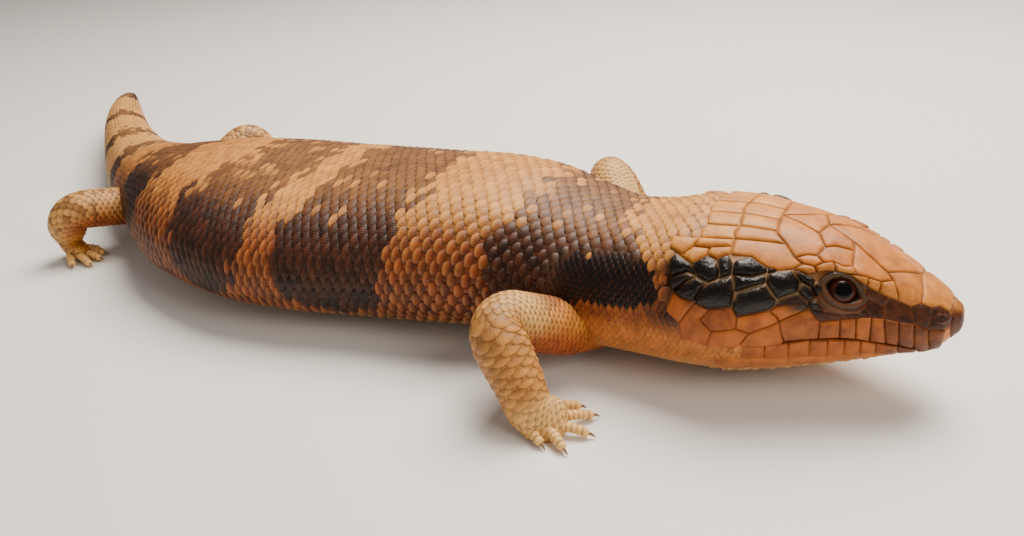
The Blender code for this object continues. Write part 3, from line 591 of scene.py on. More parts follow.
def tubeOf(line, radii, sides):
    # a closed tube along a line of points, its rings upright
    line = np.array(line, float)
    way = unit(np.gradient(line, axis=0))
    side = unit(np.cross(way, np.array([0, 0, 1.0])))
    over = np.cross(side, way)
    radii = np.array(radii)
    def place(row, share):
        angle = share * math.tau
        around = side[row] * (np.cos(angle) * radii[row, 0])[:, None] + over[row] * (np.sin(angle) * radii[row, 1])[:, None]
        points = line[row] + around
        points[:, 2] = np.maximum(points[:, 2], body["floorGap"])
        return points
    return wrapGrid(len(line), sides, place)


def joined(meshes, name):
    # the first mesh united with the rest
    parts = []
    for k, bm in enumerate(meshes):
        mesh = bpy.data.meshes.new(name + str(k))
        bm.to_mesh(mesh)
        bm.free()
        part = bpy.data.objects.new(name + str(k), mesh)
        bpy.context.scene.collection.objects.link(part)
        parts.append(part)
    others = bpy.data.collections.new(name + "Parts")
    for part in parts[1:]:
        bpy.context.scene.collection.objects.unlink(part)
        others.objects.link(part)
    bpy.context.scene.collection.children.link(others)
    step = parts[0].modifiers.new("join", "BOOLEAN")
    step.operation, step.solver, step.operand_type, step.collection = "UNION", "EXACT", "COLLECTION", others
    graph = bpy.context.evaluated_depsgraph_get()
    mesh = bpy.data.meshes.new_from_object(parts[0].evaluated_get(graph))
    for part in parts:
        bpy.data.objects.remove(part)
    bpy.data.collections.remove(others)
    bm = bmesh.new()
    bm.from_mesh(mesh)
    bpy.data.meshes.remove(mesh)
    return bm


# Nearest place on the body for points in space: station behind the snout and turn from the crown
def bodyPlace(points):
    along, x, y, heading = spine
    keep = along >= 0
    along, x, y, heading = along[keep], x[keep], y[keep], heading[keep]
    gaps = (points[:, 0][:, None] - x) ** 2 + (points[:, 1][:, None] - y) ** 2
    k = np.argmin(gaps, 1)
    s = along[k]
    tail = np.stack([np.cos(heading[k]), np.sin(heading[k])], -1)
    s = s + ((points[:, :2] - np.stack([x[k], y[k]], -1)) * tail).sum(1)
    s = np.clip(s, 0, body["tailTip"] - 0.3)
    foot, tail, left = spineFrame(s)
    width, height, under = (np.interp(s, profile, row) for row in profileRows)
    out = -((points[:, :2] - foot) * left).sum(1) / np.maximum(width, 0.3)
    up = ((points[:, 2] - under) / np.maximum(height, 0.5) - body["middle"])
    up = up / np.where(up > 0, 1 - body["middle"], body["middle"])
    sine = np.sign(out) * np.abs(out) ** (1 / body["sidePower"])
    cosine = np.sign(up) * np.abs(up) ** (1 / body["crownPower"])
    return s, np.degrees(np.arctan2(sine, cosine))


def limbDepth(points, limb):
    # how far inside a limb's tube each point lies (below 0), and its station along the limb
    gaps = np.linalg.norm(points[:, None, :] - limb["line"][None], axis=-1)
    k = np.argmin(gaps, 1)
    return gaps[np.arange(len(points)), k] - limb["wide"][k], limb["length"][k]


def limbShare(points):
    # whether points of the joined skin belong to a limb
    s, turn = bodyPlace(points)
    away = np.linalg.norm(points - bodyPoint(s, turn), axis=-1)
    best = np.full(len(points), 99.0)
    for limb in limbShapes.values():
        depth, _ = limbDepth(points, limb)
        hand = np.linalg.norm((points - limb["wrist"])[:, :2], axis=1) < 14
        best = np.minimum(best, np.where(hand & (points[:, 2] < 10), 0, np.abs(depth)))
    return (away > 0.4) & (best < 1.2) & (s > 60)


def paintPoints(mesh, marks, relief):
    for name, values in (("marks", marks), ("relief", relief)):
        data = mesh.attributes.new(name, "FLOAT_COLOR", "POINT")
        filled = np.concatenate([np.clip(values, 0, 1), np.ones((len(values), 1))], 1).astype(np.float32)
        data.data.foreach_set("color", filled.ravel())


def buildSkin():
    bm = joined([buildTrunk()] + [buildLimbTube(limb) for limb in limbShapes.values()], "skin")
    bmesh.ops.remove_doubles(bm, verts=bm.verts, dist=0.01)
    bmesh.ops.recalc_face_normals(bm, faces=bm.faces)
    points = np.array([v.co for v in bm.verts])
    s, turn = bodyPlace(points)
    dark, warm, pale = hideMarks(s, turn)
    onLimb = limbShare(points)
    head = (s < 64) & ~onLimb
    low = ease(np.abs(turn), 80, 94) * (1 - ease(s, 92, 104))
    root = np.min([np.where(np.abs(depth) < 2.5, station, 99) for depth, station in (limbDepth(points, limb) for limb in limbShapes.values())], 0)
    armpit = 1 - ease(root, 26, 34)
    temple = head * ease(s, 28, 33) * ease(np.abs(turn), 40, 48) * (1 - ease(np.abs(turn), 68, 76)) * (1 - ease(s, 57, 63))
    dark = np.where(head, np.maximum(0.5 * (1 - ease(np.abs(turn), 78, 96)), temple), dark)
    dark = np.where(onLimb, 0.25, dark)
    piece = finishMesh(bm, "skin", skinFinish, 180)
    warm = np.where(onLimb, 0.3 + 0.5 * armpit, warm * (1 - 0.3 * low))
    marks = np.stack([dark * 0.9, warm, temple * 0.8], -1)
    relief = np.stack([0.4 - 0.34 * low, 0.6 - 0.45 * low, np.where(onLimb, 0.1 * (1 - armpit), pale)], -1)
    paintPoints(piece.data, marks, relief)
    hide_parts(*[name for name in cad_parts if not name.startswith("eye")])
    return piece


skin = buildSkin()
print("skin joined:", len(skin.data.polygons), "faces")


# Fingers and toes: ringed tubes that start inside the palm and end in a smooth pad
def toeLine(limb, ends):
    foot = np.array([limb["wrist"][0], limb["wrist"][1], 0])
    return [foot + limb["flat"] * forward + limb["inward"] * inside + np.array([0, 0, height])
            for (forward, inside), height in zip(ends, hands["heights"])]


def buildToe(limb, ends):
    start, tip = toeLine(limb, ends)
    t = np.linspace(0, 1, 58)
    line = start + (tip - start) * t[:, None] + np.array([0, 0, hands["arch"]]) * np.sin(math.pi * t)[:, None]
    left = (1 - t) * np.linalg.norm(tip - start)
    taper = np.interp(t, (0, 0.5, 0.8, 0.9, 0.95, 0.98, 1.0), (1.15, 1.06, 1.03, 1.0, 0.86, 0.62, 0.25))
    past = np.maximum(left - hands["pad"], 0)
    groove = np.exp(-((np.mod(past / hands["ringPitch"] + 0.5, 1) - 0.5) * hands["ringPitch"] / 0.17) ** 2) * (left > hands["pad"] - 0.3)
    swell = np.abs(np.sin(math.pi * past / hands["ringPitch"])) ** 0.6 * 0.06
    radius = hands["thick"] * taper * (1 + swell - hands["rings"] * groove)
    return tubeOf(line, np.stack([radius, radius], -1), 18), line, groove


def buildToes():
    whole = bmesh.new()
    marks = []
    for limb in limbShapes.values():
        for ends in hands["fingers" if limb["fore"] else "toes"]:
            bm, line, groove = buildToe(limb, ends)
            points = np.array([v.co for v in bm.verts])
            row = np.argmin(np.linalg.norm(points[:, None] - line[None], axis=-1), 1)
            part = bpy.data.meshes.new("toe")
            bm.to_mesh(part)
            bm.free()
            whole.from_mesh(part)
            bpy.data.meshes.remove(part)
            # toes take the warmer, shaded side colour low down: painted shade on their undersides
            high = ease(points[:, 2], 0.4, 1.2)
            marks.append(np.stack([groove[row] * 0.4, 0.5 - 0.45 * high, groove[row] * 0], -1))
    piece = finishMesh(whole, "toes", skinFinish, 180)
    marks = np.concatenate(marks)
    paintPoints(piece.data, marks, np.stack([marks[:, 0] * 0.6, np.full(len(marks), 0.2), np.full(len(marks), 0.75)], -1))
    return piece


toes = buildToes()
print("toes made")


# Coat. Turn from the crown for a share of the way round, from the belly line by the left side
shareSteps = np.linspace(0, 1, 481)
turnTable = np.stack([np.interp(shareSteps * row[-1], row, arcTurns) for row in arcTable])


def tableAt(table, s, column):
    # table rows follow arcStations; column may be a fractional place along the row
    i = np.clip(np.asarray(s) / 2.0, 0, len(arcStations) - 1.001)
    i0 = i.astype(int)
    f = i - i0
    c = np.clip(column, 0, table.shape[1] - 1.001)
    c0 = c.astype(int)
    g = c - c0
    top = table[i0, c0] * (1 - g) + table[i0, c0 + 1] * g
    low = table[i0 + 1, c0] * (1 - g) + table[i0 + 1, c0 + 1] * g
    return top * (1 - f) + low * f


def turnOf(s, share):
    return tableAt(turnTable, s, np.mod(share, 1) * (len(shareSteps) - 1))


# rim: how far each part of a scale turns to the dark edge colour at its root, its sides and its free edge; partly the
# scales' own dark edges, partly painted shade in the grooves between them
scaleShape = {
    "along": (0, 0.25, 0.4, 0.56, 0.72, 0.86, 0.95, 1.0),              # steps from root to free edge
    "wide": (0.7, 0.92, 1.0, 1.0, 0.96, 0.84, 0.66, 0.42),
    "rise": (-0.75, -0.45, -0.1, 0.26, 0.5, 0.6, 0.5, 0.22),
    "rim": (1.0, 1.0, 0.95, 0.7, 0.34, 0.06, 0.0, 0.6),
    "across": (-1, -0.66, 0, 0.66, 1), "sideDrop": (0.5, 0.1, 0, 0.1, 0.5), "sideRim": (0.95, 0.08, 0, 0.08, 0.95),
    "skirt": 0.5, "bow": 0.04}


fineShape = {
    "along": (0, 0.4, 0.68, 0.88, 1.0), "wide": (0.75, 1.0, 0.98, 0.8, 0.45), "rise": (-0.75, -0.1, 0.45, 0.6, 0.2),
    "rim": (1.0, 0.9, 0.35, 0.0, 0.5), "across": (-1, -0.5, 0.5, 1), "sideDrop": (0.5, 0, 0, 0.5), "sideRim": (0.9, 0, 0, 0.9),
    "skirt": 0.5, "bow": 0.04}


def makeScale(shape):
    # one scale: a grid with its edge turned down and its underside closed; gives places, heights, rims and faces
    bm = bmesh.new()
    rows, columns = len(shape["along"]), len(shape["across"])
    bmesh.ops.create_grid(bm, x_segments=columns - 1, y_segments=rows - 1, size=0.5)
    rim = []
    for vert in bm.verts:
        c, r = round((vert.co.x + 0.5) * (columns - 1)), round((vert.co.y + 0.5) * (rows - 1))
        across = shape["across"][c]
        drop = shape["sideDrop"][c] * (0.4 + 0.6 * min(1, shape["along"][r] * 2))
        vert.co = (across * shape["wide"][r], shape["along"][r] - shape["bow"] * across * across * (r / (rows - 1)) ** 2,
                   shape["rise"][r] - drop)
        rim.append(max(shape["rim"][r], shape["sideRim"][c]))
    made = bmesh.ops.extrude_edge_only(bm, edges=[e for e in bm.edges if e.is_boundary])["geom"]
    skirt = [g for g in made if isinstance(g, bmesh.types.BMVert)]
    for vert in skirt:
        vert.co.z -= shape["skirt"]
        vert.co.x *= 0.94
    bmesh.ops.holes_fill(bm, edges=[e for e in bm.edges if e.is_boundary], sides=0)
    bmesh.ops.recalc_face_normals(bm, faces=bm.faces)
    bm.verts.index_update()
    co = np.array([v.co for v in bm.verts])
    rim = np.array(rim + [1.0] * (len(co) - len(rim)))
    faces = [[v.index for v in f.verts] for f in bm.faces]
    bm.free()
    return co, rim, faces


scaleForm = makeScale(scaleShape)
fineForm = makeScale(fineShape)


def repeatMesh(name, points, faces, material, smoothAngle=75):
    # the same faces over and over: points has one row of places for each copy, in millimetres
    copies, size = points.shape[:2]
    loops = np.concatenate([np.array(f) for f in faces])
    totals = np.array([len(f) for f in faces])
    index = (loops[None] + np.arange(copies)[:, None] * size).ravel()
    total = np.tile(totals, copies)
    start = np.concatenate([[0], np.cumsum(total)[:-1]])
    mesh = bpy.data.meshes.new(name)
    mesh.vertices.add(copies * size)
    mesh.vertices.foreach_set("co", (points * mm).astype(np.float32).ravel())
    mesh.loops.add(len(index))
    mesh.loops.foreach_set("vertex_index", index.astype(np.int32))
    mesh.polygons.add(len(total))
    mesh.polygons.foreach_set("loop_start", start.astype(np.int32))
    mesh.update(calc_edges=True)
    return placeMesh(mesh, name, material, smoothAngle)


def addLane(mesh, lanes):
    data = mesh.attributes.new("lane", "FLOAT_VECTOR", "POINT")
    data.data.foreach_set("vector", lanes.astype(np.float32).ravel())


def bakeMap(mesh, places):
    # each scale has a patch of its own beside its root's place, so that the export can hold its colours
    layer = mesh.uv_layers.new(name="OFBake")
    index = np.empty(len(mesh.loops), np.int32)
    mesh.loops.foreach_get("vertex_index", index)
    layer.data.foreach_set("uv", places[index].astype(np.float32).ravel())


coats = {
    "body": dict(halfColumns=62, dropTo=26, first=4, length=2.8, broad=0.86, thick=1.0, seed=4,
                 pitch=((0, 1.9), (58, 1.7), (66, 1.4), (80, 1.5), (96, 1.85), (108, 2.05), (125, 2.1), (138, 1.85), (155, 1.5),
                        (175, 1.36), (195, 1.26), (240, 1.26), (290, 1.4), (340, 1.6), (380, 1.6), (420, 1.35), (436, 1.0))),
    "neck": dict(halfColumns=104, dropTo=104, first=42, length=2.75, broad=0.86, thick=0.24, seed=9, pitch=((0, 0.74), (200, 0.8)))}


def columnTables(spec):
    # middle and half width of every half column, as shares of the way round, at each station
    count = spec["halfColumns"]
    weights = np.ones((len(arcStations), count))
    pairs = (count - spec["dropTo"]) // 2
    if pairs:
        half = count // 2
        chosen = np.round(np.linspace(3, half - 4, pairs // 2)).astype(int)
        order = np.argsort([(k * 7) % len(chosen) for k in range(len(chosen))])
        for rank, k in enumerate(order):
            start = 238 + 175 * (rank + 0.5) / len(chosen)
            fade = 1 - ease(arcStations, start, start + 14)
            for column in (chosen[k], chosen[k] + 1):
                weights[:, column] = np.minimum(weights[:, column], fade)
                weights[:, count - 1 - column] = np.minimum(weights[:, count - 1 - column], fade)
    total = weights.sum(1, keepdims=True)
    middle = (np.cumsum(weights, 1) - weights / 2) / total
    span = (np.roll(weights, 1, 1) / 2 + weights + np.roll(weights, -1, 1) / 2) / total / 2
    return middle, span, weights


def fineSkin(s, turn):
    # the soft side of the neck, where the scales are like grains
    side = np.abs(turn)
    reach = np.minimum(((s - 77) / 15) ** 2 + ((side - 74) / 36) ** 2, ((s - 68) / 27) ** 2 + ((side - 111) / 42) ** 2)
    return 1 - ease(np.sqrt(reach), 0.85, 1.0)


def layCoat(key, chooses):
    spec = coats[key]
    rng = np.random.default_rng(spec["seed"])
    middle, span, weights = columnTables(spec)
    co, rim, faces = fineForm if key == "neck" else scaleForm
    roots, s = [], float(spec["first"])
    while s < body["tailTip"] - 4:
        roots.append(s)
        s += float(smooth(spec["pitch"], 1, s))
    rows = np.arange(len(roots))
    i, j = np.meshgrid(rows, np.arange(spec["halfColumns"]), indexing="ij")
    keep = ((i + j) % 2 == 0).ravel()
    i, j = i.ravel()[keep], j.ravel()[keep]
    root = np.array(roots)[i]
    pitch = smooth(spec["pitch"], 1, root)
    heart = root + pitch * spec["length"] * 0.66
    turn = turnOf(heart, tableAt(middle, heart, j.astype(float)))
    keep = (tableAt(weights, heart, j.astype(float)) > 0.5) & (heart < body["tailTip"] - 1) & chooses(heart, turn)
    hearts = bodyPoint(heart, turn)
    for limb in limbShapes.values():
        depth, _ = limbDepth(hearts, limb)
        keep &= depth > -1.6
    i, j, root, pitch, heart, turn = (v[keep] for v in (i, j, root, pitch, heart, turn))
    count = len(root)
    print(key, "coat:", count, "scales")
    a, b, h = co[:, 0], co[:, 1], co[:, 2]
    size = 1 + rng.uniform(-0.06, 0.06, count)
    sway = rng.uniform(-0.035, 0.035, count)
    s = root[:, None] + b[None] * (pitch * spec["length"] * size)[:, None]
    s = np.minimum(s, body["tailTip"] - 0.2)
    centre = tableAt(middle, s, np.repeat(j[:, None].astype(float), len(a), 1))
    half = tableAt(span, s, np.repeat(j[:, None].astype(float), len(a), 1))
    share = centre + (a[None] * spec["broad"] + sway[:, None]) * half
    where = turnOf(s, share)
    jitter = rng.uniform(-0.05, 0.05, count)
    thick = spec["thick"] * (np.sqrt(pitch / 2.3) if key == "body" else 1.0) * (0.5 + 0.75 * ease(np.abs(turn), 12, 60))
    lift = h[None] * ((1 + jitter) * thick)[:, None]
    points = bodyPoint(s, where, lift)
    return dict(points=points, s=heart, turn=turn, root=root, a=a, b=b, rim=rim, faces=faces, rng=rng)


def dressCoat(name, laid, material, wanted):
    # a piece from the scales wanted, with its attributes and its bake map
    points, s, turn, rng = laid["points"][wanted], laid["s"][wanted], laid["turn"][wanted], laid["rng"]
    count, size = points.shape[:2]
    piece = repeatMesh(name, points, laid["faces"], material)
    wander = rng.normal(0, 0.9, count) * (1 + 1.6 * (1 - ease(np.abs(turn), 26, 46)))
    dark, warm, pale = hideMarks(s, turn, wander)
    dark = np.where(dark > 0.5, np.minimum(1, dark + 0.3), dark * 0.5)
    side = np.abs(turn)
    fleck = (rng.random(count) < 0.13 * (1 - ease(side, 38, 52)) * ease(side, 4, 12)) & (s < 262)
    dark = np.where(fleck, dark * rng.uniform(0.1, 0.6, count), dark)
    warm = np.where(fleck, warm * 0.4, warm)
    # dark bands lighter along the top of the body: partly a faded top to the bands, partly a painted sheen
    dark = dark * (0.74 + 0.26 * ease(side, 16, 50))
    shade = np.exp(-((s - 61) / 6) ** 2 - ((side - 79) / 7) ** 2)      # brown below the temple
    dark = np.maximum(dark, 0.75 * shade)
    low = ease(side, 84, 96) * (1 - ease(s, 92, 104))                   # the yellow throat and under the neck
    # tone: random for each scale, plus painted shade low on the sides of the body, plus a darker stretch over the hips
    tone = rng.normal(0.42, 0.13, count) + 0.3 * ease(side, 60, 96) + 0.35 * ease(s, 196, 236) * (1 - ease(s, 262, 300))
    tone = tone + 0.4 * dark * ease(side, 30, 50) * (1 - ease(s, 84, 96))
    tone = np.clip(tone * (1 - low) + low * rng.normal(0.2, 0.08, count), 0, 1)
    warm = warm * (1 - 0.3 * low)
    # rims are stronger down the side of the body, where more painted groove shade is laid on
    rim = laid["rim"][None] * ((0.44 + 0.66 * ease(side, 20, 54)) * (1 - 0.6 * low) * (0.6 if name == "scalesNeck" else 1))[:, None]
    wide = lambda v: np.repeat(v[:, None], size, 1).ravel()
    black = 0.85 * dark * ease(side, 34, 52) * (1 - ease(s, 82, 94))
    rim = rim * np.clip(1 - 2 * black, 0, 1)[:, None]
    free = np.exp(-((laid["b"] - 0.88) / 0.08) ** 2)                   # a painted highlight just inside the free edge, weaker down the side
    lit = pale[:, None] + 0.32 * free[None] * (1 - 0.5 * ease(side, 40, 80))[:, None]
    marks = np.stack([wide(dark), wide(np.clip(warm + rng.normal(0, 0.08, count), 0, 1)), wide(black)], -1)
    relief = np.stack([rim.ravel(), wide(tone), lit.ravel()], -1)
    paintPoints(piece.data, marks, relief)
    lane = np.stack([np.tile(laid["a"], count), np.tile(laid["b"], count), wide(rng.random(count) * 9)], -1)
    addLane(piece.data, lane)
    places = np.stack([(wide(turn) + 180) / 360 + np.tile(laid["a"], count) * 0.0015,
                       wide(laid["root"][wanted]) / 440 + 0.005 + np.tile(laid["b"], count) * 0.003], -1)
    bakeMap(piece.data, places)
    return piece


# Shields of the head. Corners on its right side: station behind the snout, turn from the crown
corners = dict(
    f1=(16, 24.5), f2=(24.3, 10.2), f3=(23.8, 19), s1=(48.2, 43.5), s2=(44.9, 39.2), s3=(40.7, 46.2), s4=(43.8, 52.5),
    s5=(46.7, 61.8), s6=(37.6, 69.5), s7=(38.9, 72.8), s8=(45.5, 76.5), s9=(46.7, 70.5), s10=(36.6, 80), s11=(37.1, 77),
    k10=(35, 95), k11=(35.6, 90), v6=(45.4, 83.5), v7=(42.7, 86.5), v8=(37.8, 82.2), v9=(36, 98.2), v10=(45.1, 96.2),
    a2=(8, 27), a3=(8.1, 44.5), a4=(5.6, 44.5), b1=(13.8, 38.8), b2=(14.6, 30.8), c1=(12.6, 49), c2=(9.7, 51.8),
    e2=(32.4, 48.4), e3=(30.5, 46.4), e4=(28.8, 44.2), e5=(26.8, 43.2), e6=(24.9, 43.2), e7=(22.4, 45), e8=(19.9, 47.2),
    e9=(17.1, 47.6), e10=(14.5, 49.6), g1=(30.7, 71.8), g2=(27.2, 73.5), g3=(23.5, 74.5), g4=(20.6, 71), h1=(52.5, 57.8),
    h2=(47.9, 52.2), h3=(51.6, 73.2), h4=(55.1, 69.5), h5=(53.7, 61.8), h6=(55.5, 54.5), h7=(57.7, 58), h8=(58.4, 68.2),
    h9=(60.9, 65.2), h10=(57.9, 52.2), h11=(61.8, 56.5), h12=(62.6, 60), i1=(57.5, 47), i2=(54.5, 40.8), i3=(52, 43.2),
    i4=(50.5, 50.5), i7=(50.4, 55), j1=(60.6, 41.8), j2=(58.4, 35.5), j3=(54.5, 35.5), j5=(63.3, 46.2), j6=(61.9, 41),
    j7=(49.4, 33.5), j8=(49.3, 39.2), k1=(27.9, 94.6), k2=(23.5, 93.8), k3=(20.1, 95), k4=(17.2, 97.2), k5=(13.8, 101),
    k6=(11.2, 105.6), k7=(8.1, 116), k8=(5.1, 132), k9=(3, 148), l0=(7.7, 48.2), l1=(5.6, 58.8), l2=(5.8, 80.5),
    l3=(8.7, 72.8), l4=(11.9, 73), l5=(15, 72), l6=(17.6, 73), l8=(19.3, 74.3), l7=(19.1, 65), m0=(9, 0), m1=(30.5, 0),
    m2=(41.3, 0), n1=(4, 37.2), n2=(1.8, 42.8), n3=(1, 62), n5=(2.2, 85), o1=(33.5, 53.2), o2=(31.1, 56.8), o3=(30.2, 51.2),
    o4=(33.5, 60.5), o5=(31.3, 67), o6=(29.6, 63.8), p1=(38.2, 27.2), p2=(40.9, 19.2), p3=(41.2, 10.8), q1=(17.2, 38.5),
    q2=(20, 40.2), q3=(22.5, 42), q4=(23.5, 35.5), q5=(25.6, 38.2), q6=(27.6, 35.8), q7=(29.5, 38.2), q8=(31.2, 42),
    q9=(33.7, 41.2), r0=(1.6, 0), r1=(1.1, 6.2), t1=(20.7, 76), t4=(22.9, 77.8), t2=(23.9, 78.8), t5=(26.4, 80.2),
    t3=(28, 81.2), u1=(27.7, 20.5), u2=(29.9, 24), u3=(31.1, 33), u4=(33.2, 33.5), u5=(35.6, 37), v1=(40.7, 49.5),
    v2=(38.4, 47.2), v3=(35.5, 45.5), v4=(37.6, 65.5), v5=(40.5, 55.5), w1=(32, 12.2), w2=(36.9, 4), x1=(14.8, 60),
    x2=(19.3, 56), z0=(50.8, 0), z1=(41.3, 5.5), z2=(50.2, 5.5), z3=(59, 0), z4=(58.4, 5.5), z5=(66.4, 0), z6=(65.8, 5.5),
    z7=(40.9, 17.5), z8=(49.4, 17.5), z9=(49.8, 11.5), y1=(41, 27), y2=(49.7, 28), y3=(50, 23), y4=(57.4, 17.5),
    y5=(58, 11.5), y6=(57.7, 29), y7=(58.2, 23), y8=(64.8, 17.5), y9=(65.6, 11.5), x3=(64.6, 29), x4=(65.4, 23),
    x5=(64.2, 37), x6=(46.9, 56), x7=(28.6, 68.5), x8=(28.8, 55), x9=(28.6, 60), d1=(50.5, 86), d2=(53.5, 80), d3=(51.5, 97),
    d4=(57.5, 95), d5=(58.5, 84), d6=(62, 78))
plates = {                                                             # each shield by its corners
    "middle": ("m0 a2 a3 a4 n1 n2 r1 r0", "m0 f1 f2 m1", "m1 w1 w2 m2", "m2 z1 z2 z0", "z0 z2 z4 z3"),
    "crown": ("m0 a2 a3 c2 c1 b1 b2 f1", "f2 f1 b2 q1 q2 q3 q4 f3", "m1 f2 f3 u1 u2 w1", "u3 u2 u1 f3 q4 q5 q6 q7",
        "u5 u4 u3 q7 q8 q9", "w1 u2 u3 u4 u5 p1 p2 p3 m2 w2", "y2 y1 p1 u5 q9 v3 v2 s3 s2 j8 j7", "z1 p3 z7 z8 z9 z2",
        "z7 p2 p1 y1 y2 y3 z8", "z2 z9 z8 y4 y5 z4", "z8 y3 y2 y6 y7 y4"),
    "nape": ("y2 j7 j3 j2 y6", "y6 j2 j1 x5 x3", "j1 j2 j3 i2 i1 j6", "j3 j7 j8 i3 i2"),
    "brow": ("q9 q8 e3 e2 v3", "q8 q7 q6 e5 e4 e3", "q6 q5 q4 q3 e6 e5", "q3 q2 e8 e7 e6", "q2 q1 e9 e8",
        "q1 b2 b1 c1 e10 e9"),
    "loreal": ("c2 l0 a4 l1 l2 l3", "e10 c1 c2 l3 l4 l5", "e8 e9 e10 x1 x2", "x2 x1 l5 l6 l7", "a4 n1 n2 n3 n5 l2 l1",
        "g1 g2 t5 t3", "g2 g3 t4 t5", "g3 g4 l8 t4", "g4 l7 l6 l8", "l0 c2 a3 a4"),
    "temple": ("v3 e2 o3 o2 o1", "o1 o2 o6 o5 o4", "o5 o6 x7 g2 g1", "o3 x8 x9 o6 o2", "s1 s2 s3 v1 s4 h2",
        "h2 s4 v1 v5 s5 x6", "v1 v2 v3 o1 o4 v4 v5", "s5 v5 v4 s6 s7 s8 s9", "h1 h2 x6 s5 s9 h3 h4 h5",
        "h7 h6 h1 h5 h4 h8 h9", "h11 h10 h6 h7 h9 h12", "i3 j8 s1 h2 i7 i4", "i1 i2 i3 i4 i7 h1 h6", "j5 j6 i1 h6 h10 h11",
        "v2 v1 s3"),
    "seam": ("v4 o4 o5 g1 s10 s11 s7 s6",),
    "cheek": ("s8 s7 s11 s10 v8 v7 v6", "v7 v8 s10 k11 k10 v9 v10", "s9 s8 v6 d1 d2 h3", "v6 v7 v10 d3 d1",
        "h3 d2 d1 d3 d4 d5 h4", "h4 d5 d6 h9 h8"),
    "upperLip": ("s10 g1 t3 k1 k10 k11", "t3 t5 t2 k2 k1", "t2 t4 t1 k3 k2", "t1 l8 l6 k4 k3", "l6 l5 k5 k4", "l5 l4 k6 k5",
        "l4 l3 k7 k6", "l3 l2 k8 k7", "l2 n5 k9 k8")}
lips = {                                                               # the lower lip's and the chin's seams follow the mouth
    "lower": (3.4, 7.5, 11.3, 15.8, 19, 22.3, 25.8, 29.5, 34, 39, 44), "drop": (26, 23, 21.5, 21.5, 21, 21.5, 21.5, 20.5, 18.2, 15.8, 14.5),
    "chin": (3.4, 11.3, 19, 25.8, 34, 42, 50), "under": (168, 151, 142, 138, 136, 134, 130)}
shields = {"gap": 0.03, "edge": -0.08, "skirt": 0.9, "cell": 1.25, "corner": 0.26, "suture": 0.17}
shieldLook = {                                                         # rise, dome, tilt towards the tail, bevel
    "middle": (0.36, 0.24, 0.0, 0.4), "crown": (0.36, 0.3, 0.01, 0.42), "nape": (0.46, 0.6, 0.05, 0.45), "brow": (0.75, 0.4, 0.0, 0.45),
    "loreal": (0.12, 0.16, 0.0, 0.3), "temple": (0.55, 1.05, 0.09, 0.5), "seam": (0.45, 0.4, 0.03, 0.4), "cheek": (0.28, 0.14, 0.0, 0.26),
    "upperLip": (0.3, 0.3, 0.0, 0.26), "lowerLip": (0.26, 0.24, 0.0, 0.26), "chin": (0.22, 0.1, 0.0, 0.24)}


def perDegree(s):
    return np.interp(np.maximum(s, 1.5), arcStations, girth) / 360


def listShields():
    # kind and corners of every shield, on both sides of the head
    rows = []
    for kind, names in plates.items():
        for row in names:
            rows.append((kind, np.array([corners[name] for name in row.split()], float)))
    low = np.array(lips["lower"], float)
    mouth = mouthTurn(low, 0) + 0.9
    under = mouth + lips["drop"]
    for k in range(len(low) - 1):
        rows.append(("lowerLip", np.array([(low[k + 1], mouth[k + 1]), (low[k], mouth[k]), (low[k], under[k]), (low[k + 1], under[k + 1])])))
    chin = np.array(lips["chin"], float)
    upper = np.interp(chin, low, under)
    for k in range(len(chin) - 1):
        inside = (low > chin[k]) & (low < chin[k + 1])
        edge = list(zip(low[inside], under[inside]))
        rows.append(("chin", np.array([(chin[k], upper[k])] + edge + [(chin[k + 1], upper[k + 1]), (chin[k + 1], lips["under"][k + 1]),
                                                                       (chin[k], lips["under"][k])])))
    whole = []
    for kind, points in rows:
        if kind == "middle":
            mirrored = [(s, -turn) for s, turn in points[::-1] if turn > 0]
            whole.append((kind, np.array(list(points) + mirrored)))
        else:
            whole += [(kind, points), (kind, points[::-1] * (1, -1))]
    return whole


shieldRows = listShields()


def onShield(s, turn):
    # whether places on the head lie under a shield
    s, turn = np.asarray(s, float), np.abs(np.asarray(turn, float))
    found = np.zeros(s.shape, bool)
    for kind, points in shieldRows:
        if points[:, 1].mean() < -0.5:
            continue
        inside = np.zeros(s.shape, bool)
        for (s1, turn1), (s2, turn2) in zip(points, np.roll(points, -1, 0)):
            if turn1 != turn2:
                inside ^= ((turn1 > turn) != (turn2 > turn)) & (s < (s2 - s1) * (turn - turn1) / (turn2 - turn1) + s1)
        found |= inside
    return found


def edgeDistance(points, outline):
    a, b = outline[:, 0], outline[:, 1]
    along = b - a
    t = np.clip(((points[:, None] - a) * along).sum(-1) / (along ** 2).sum(-1), 0, 1)
    return np.linalg.norm(points[:, None] - (a + along * t[..., None]), axis=-1).min(1)


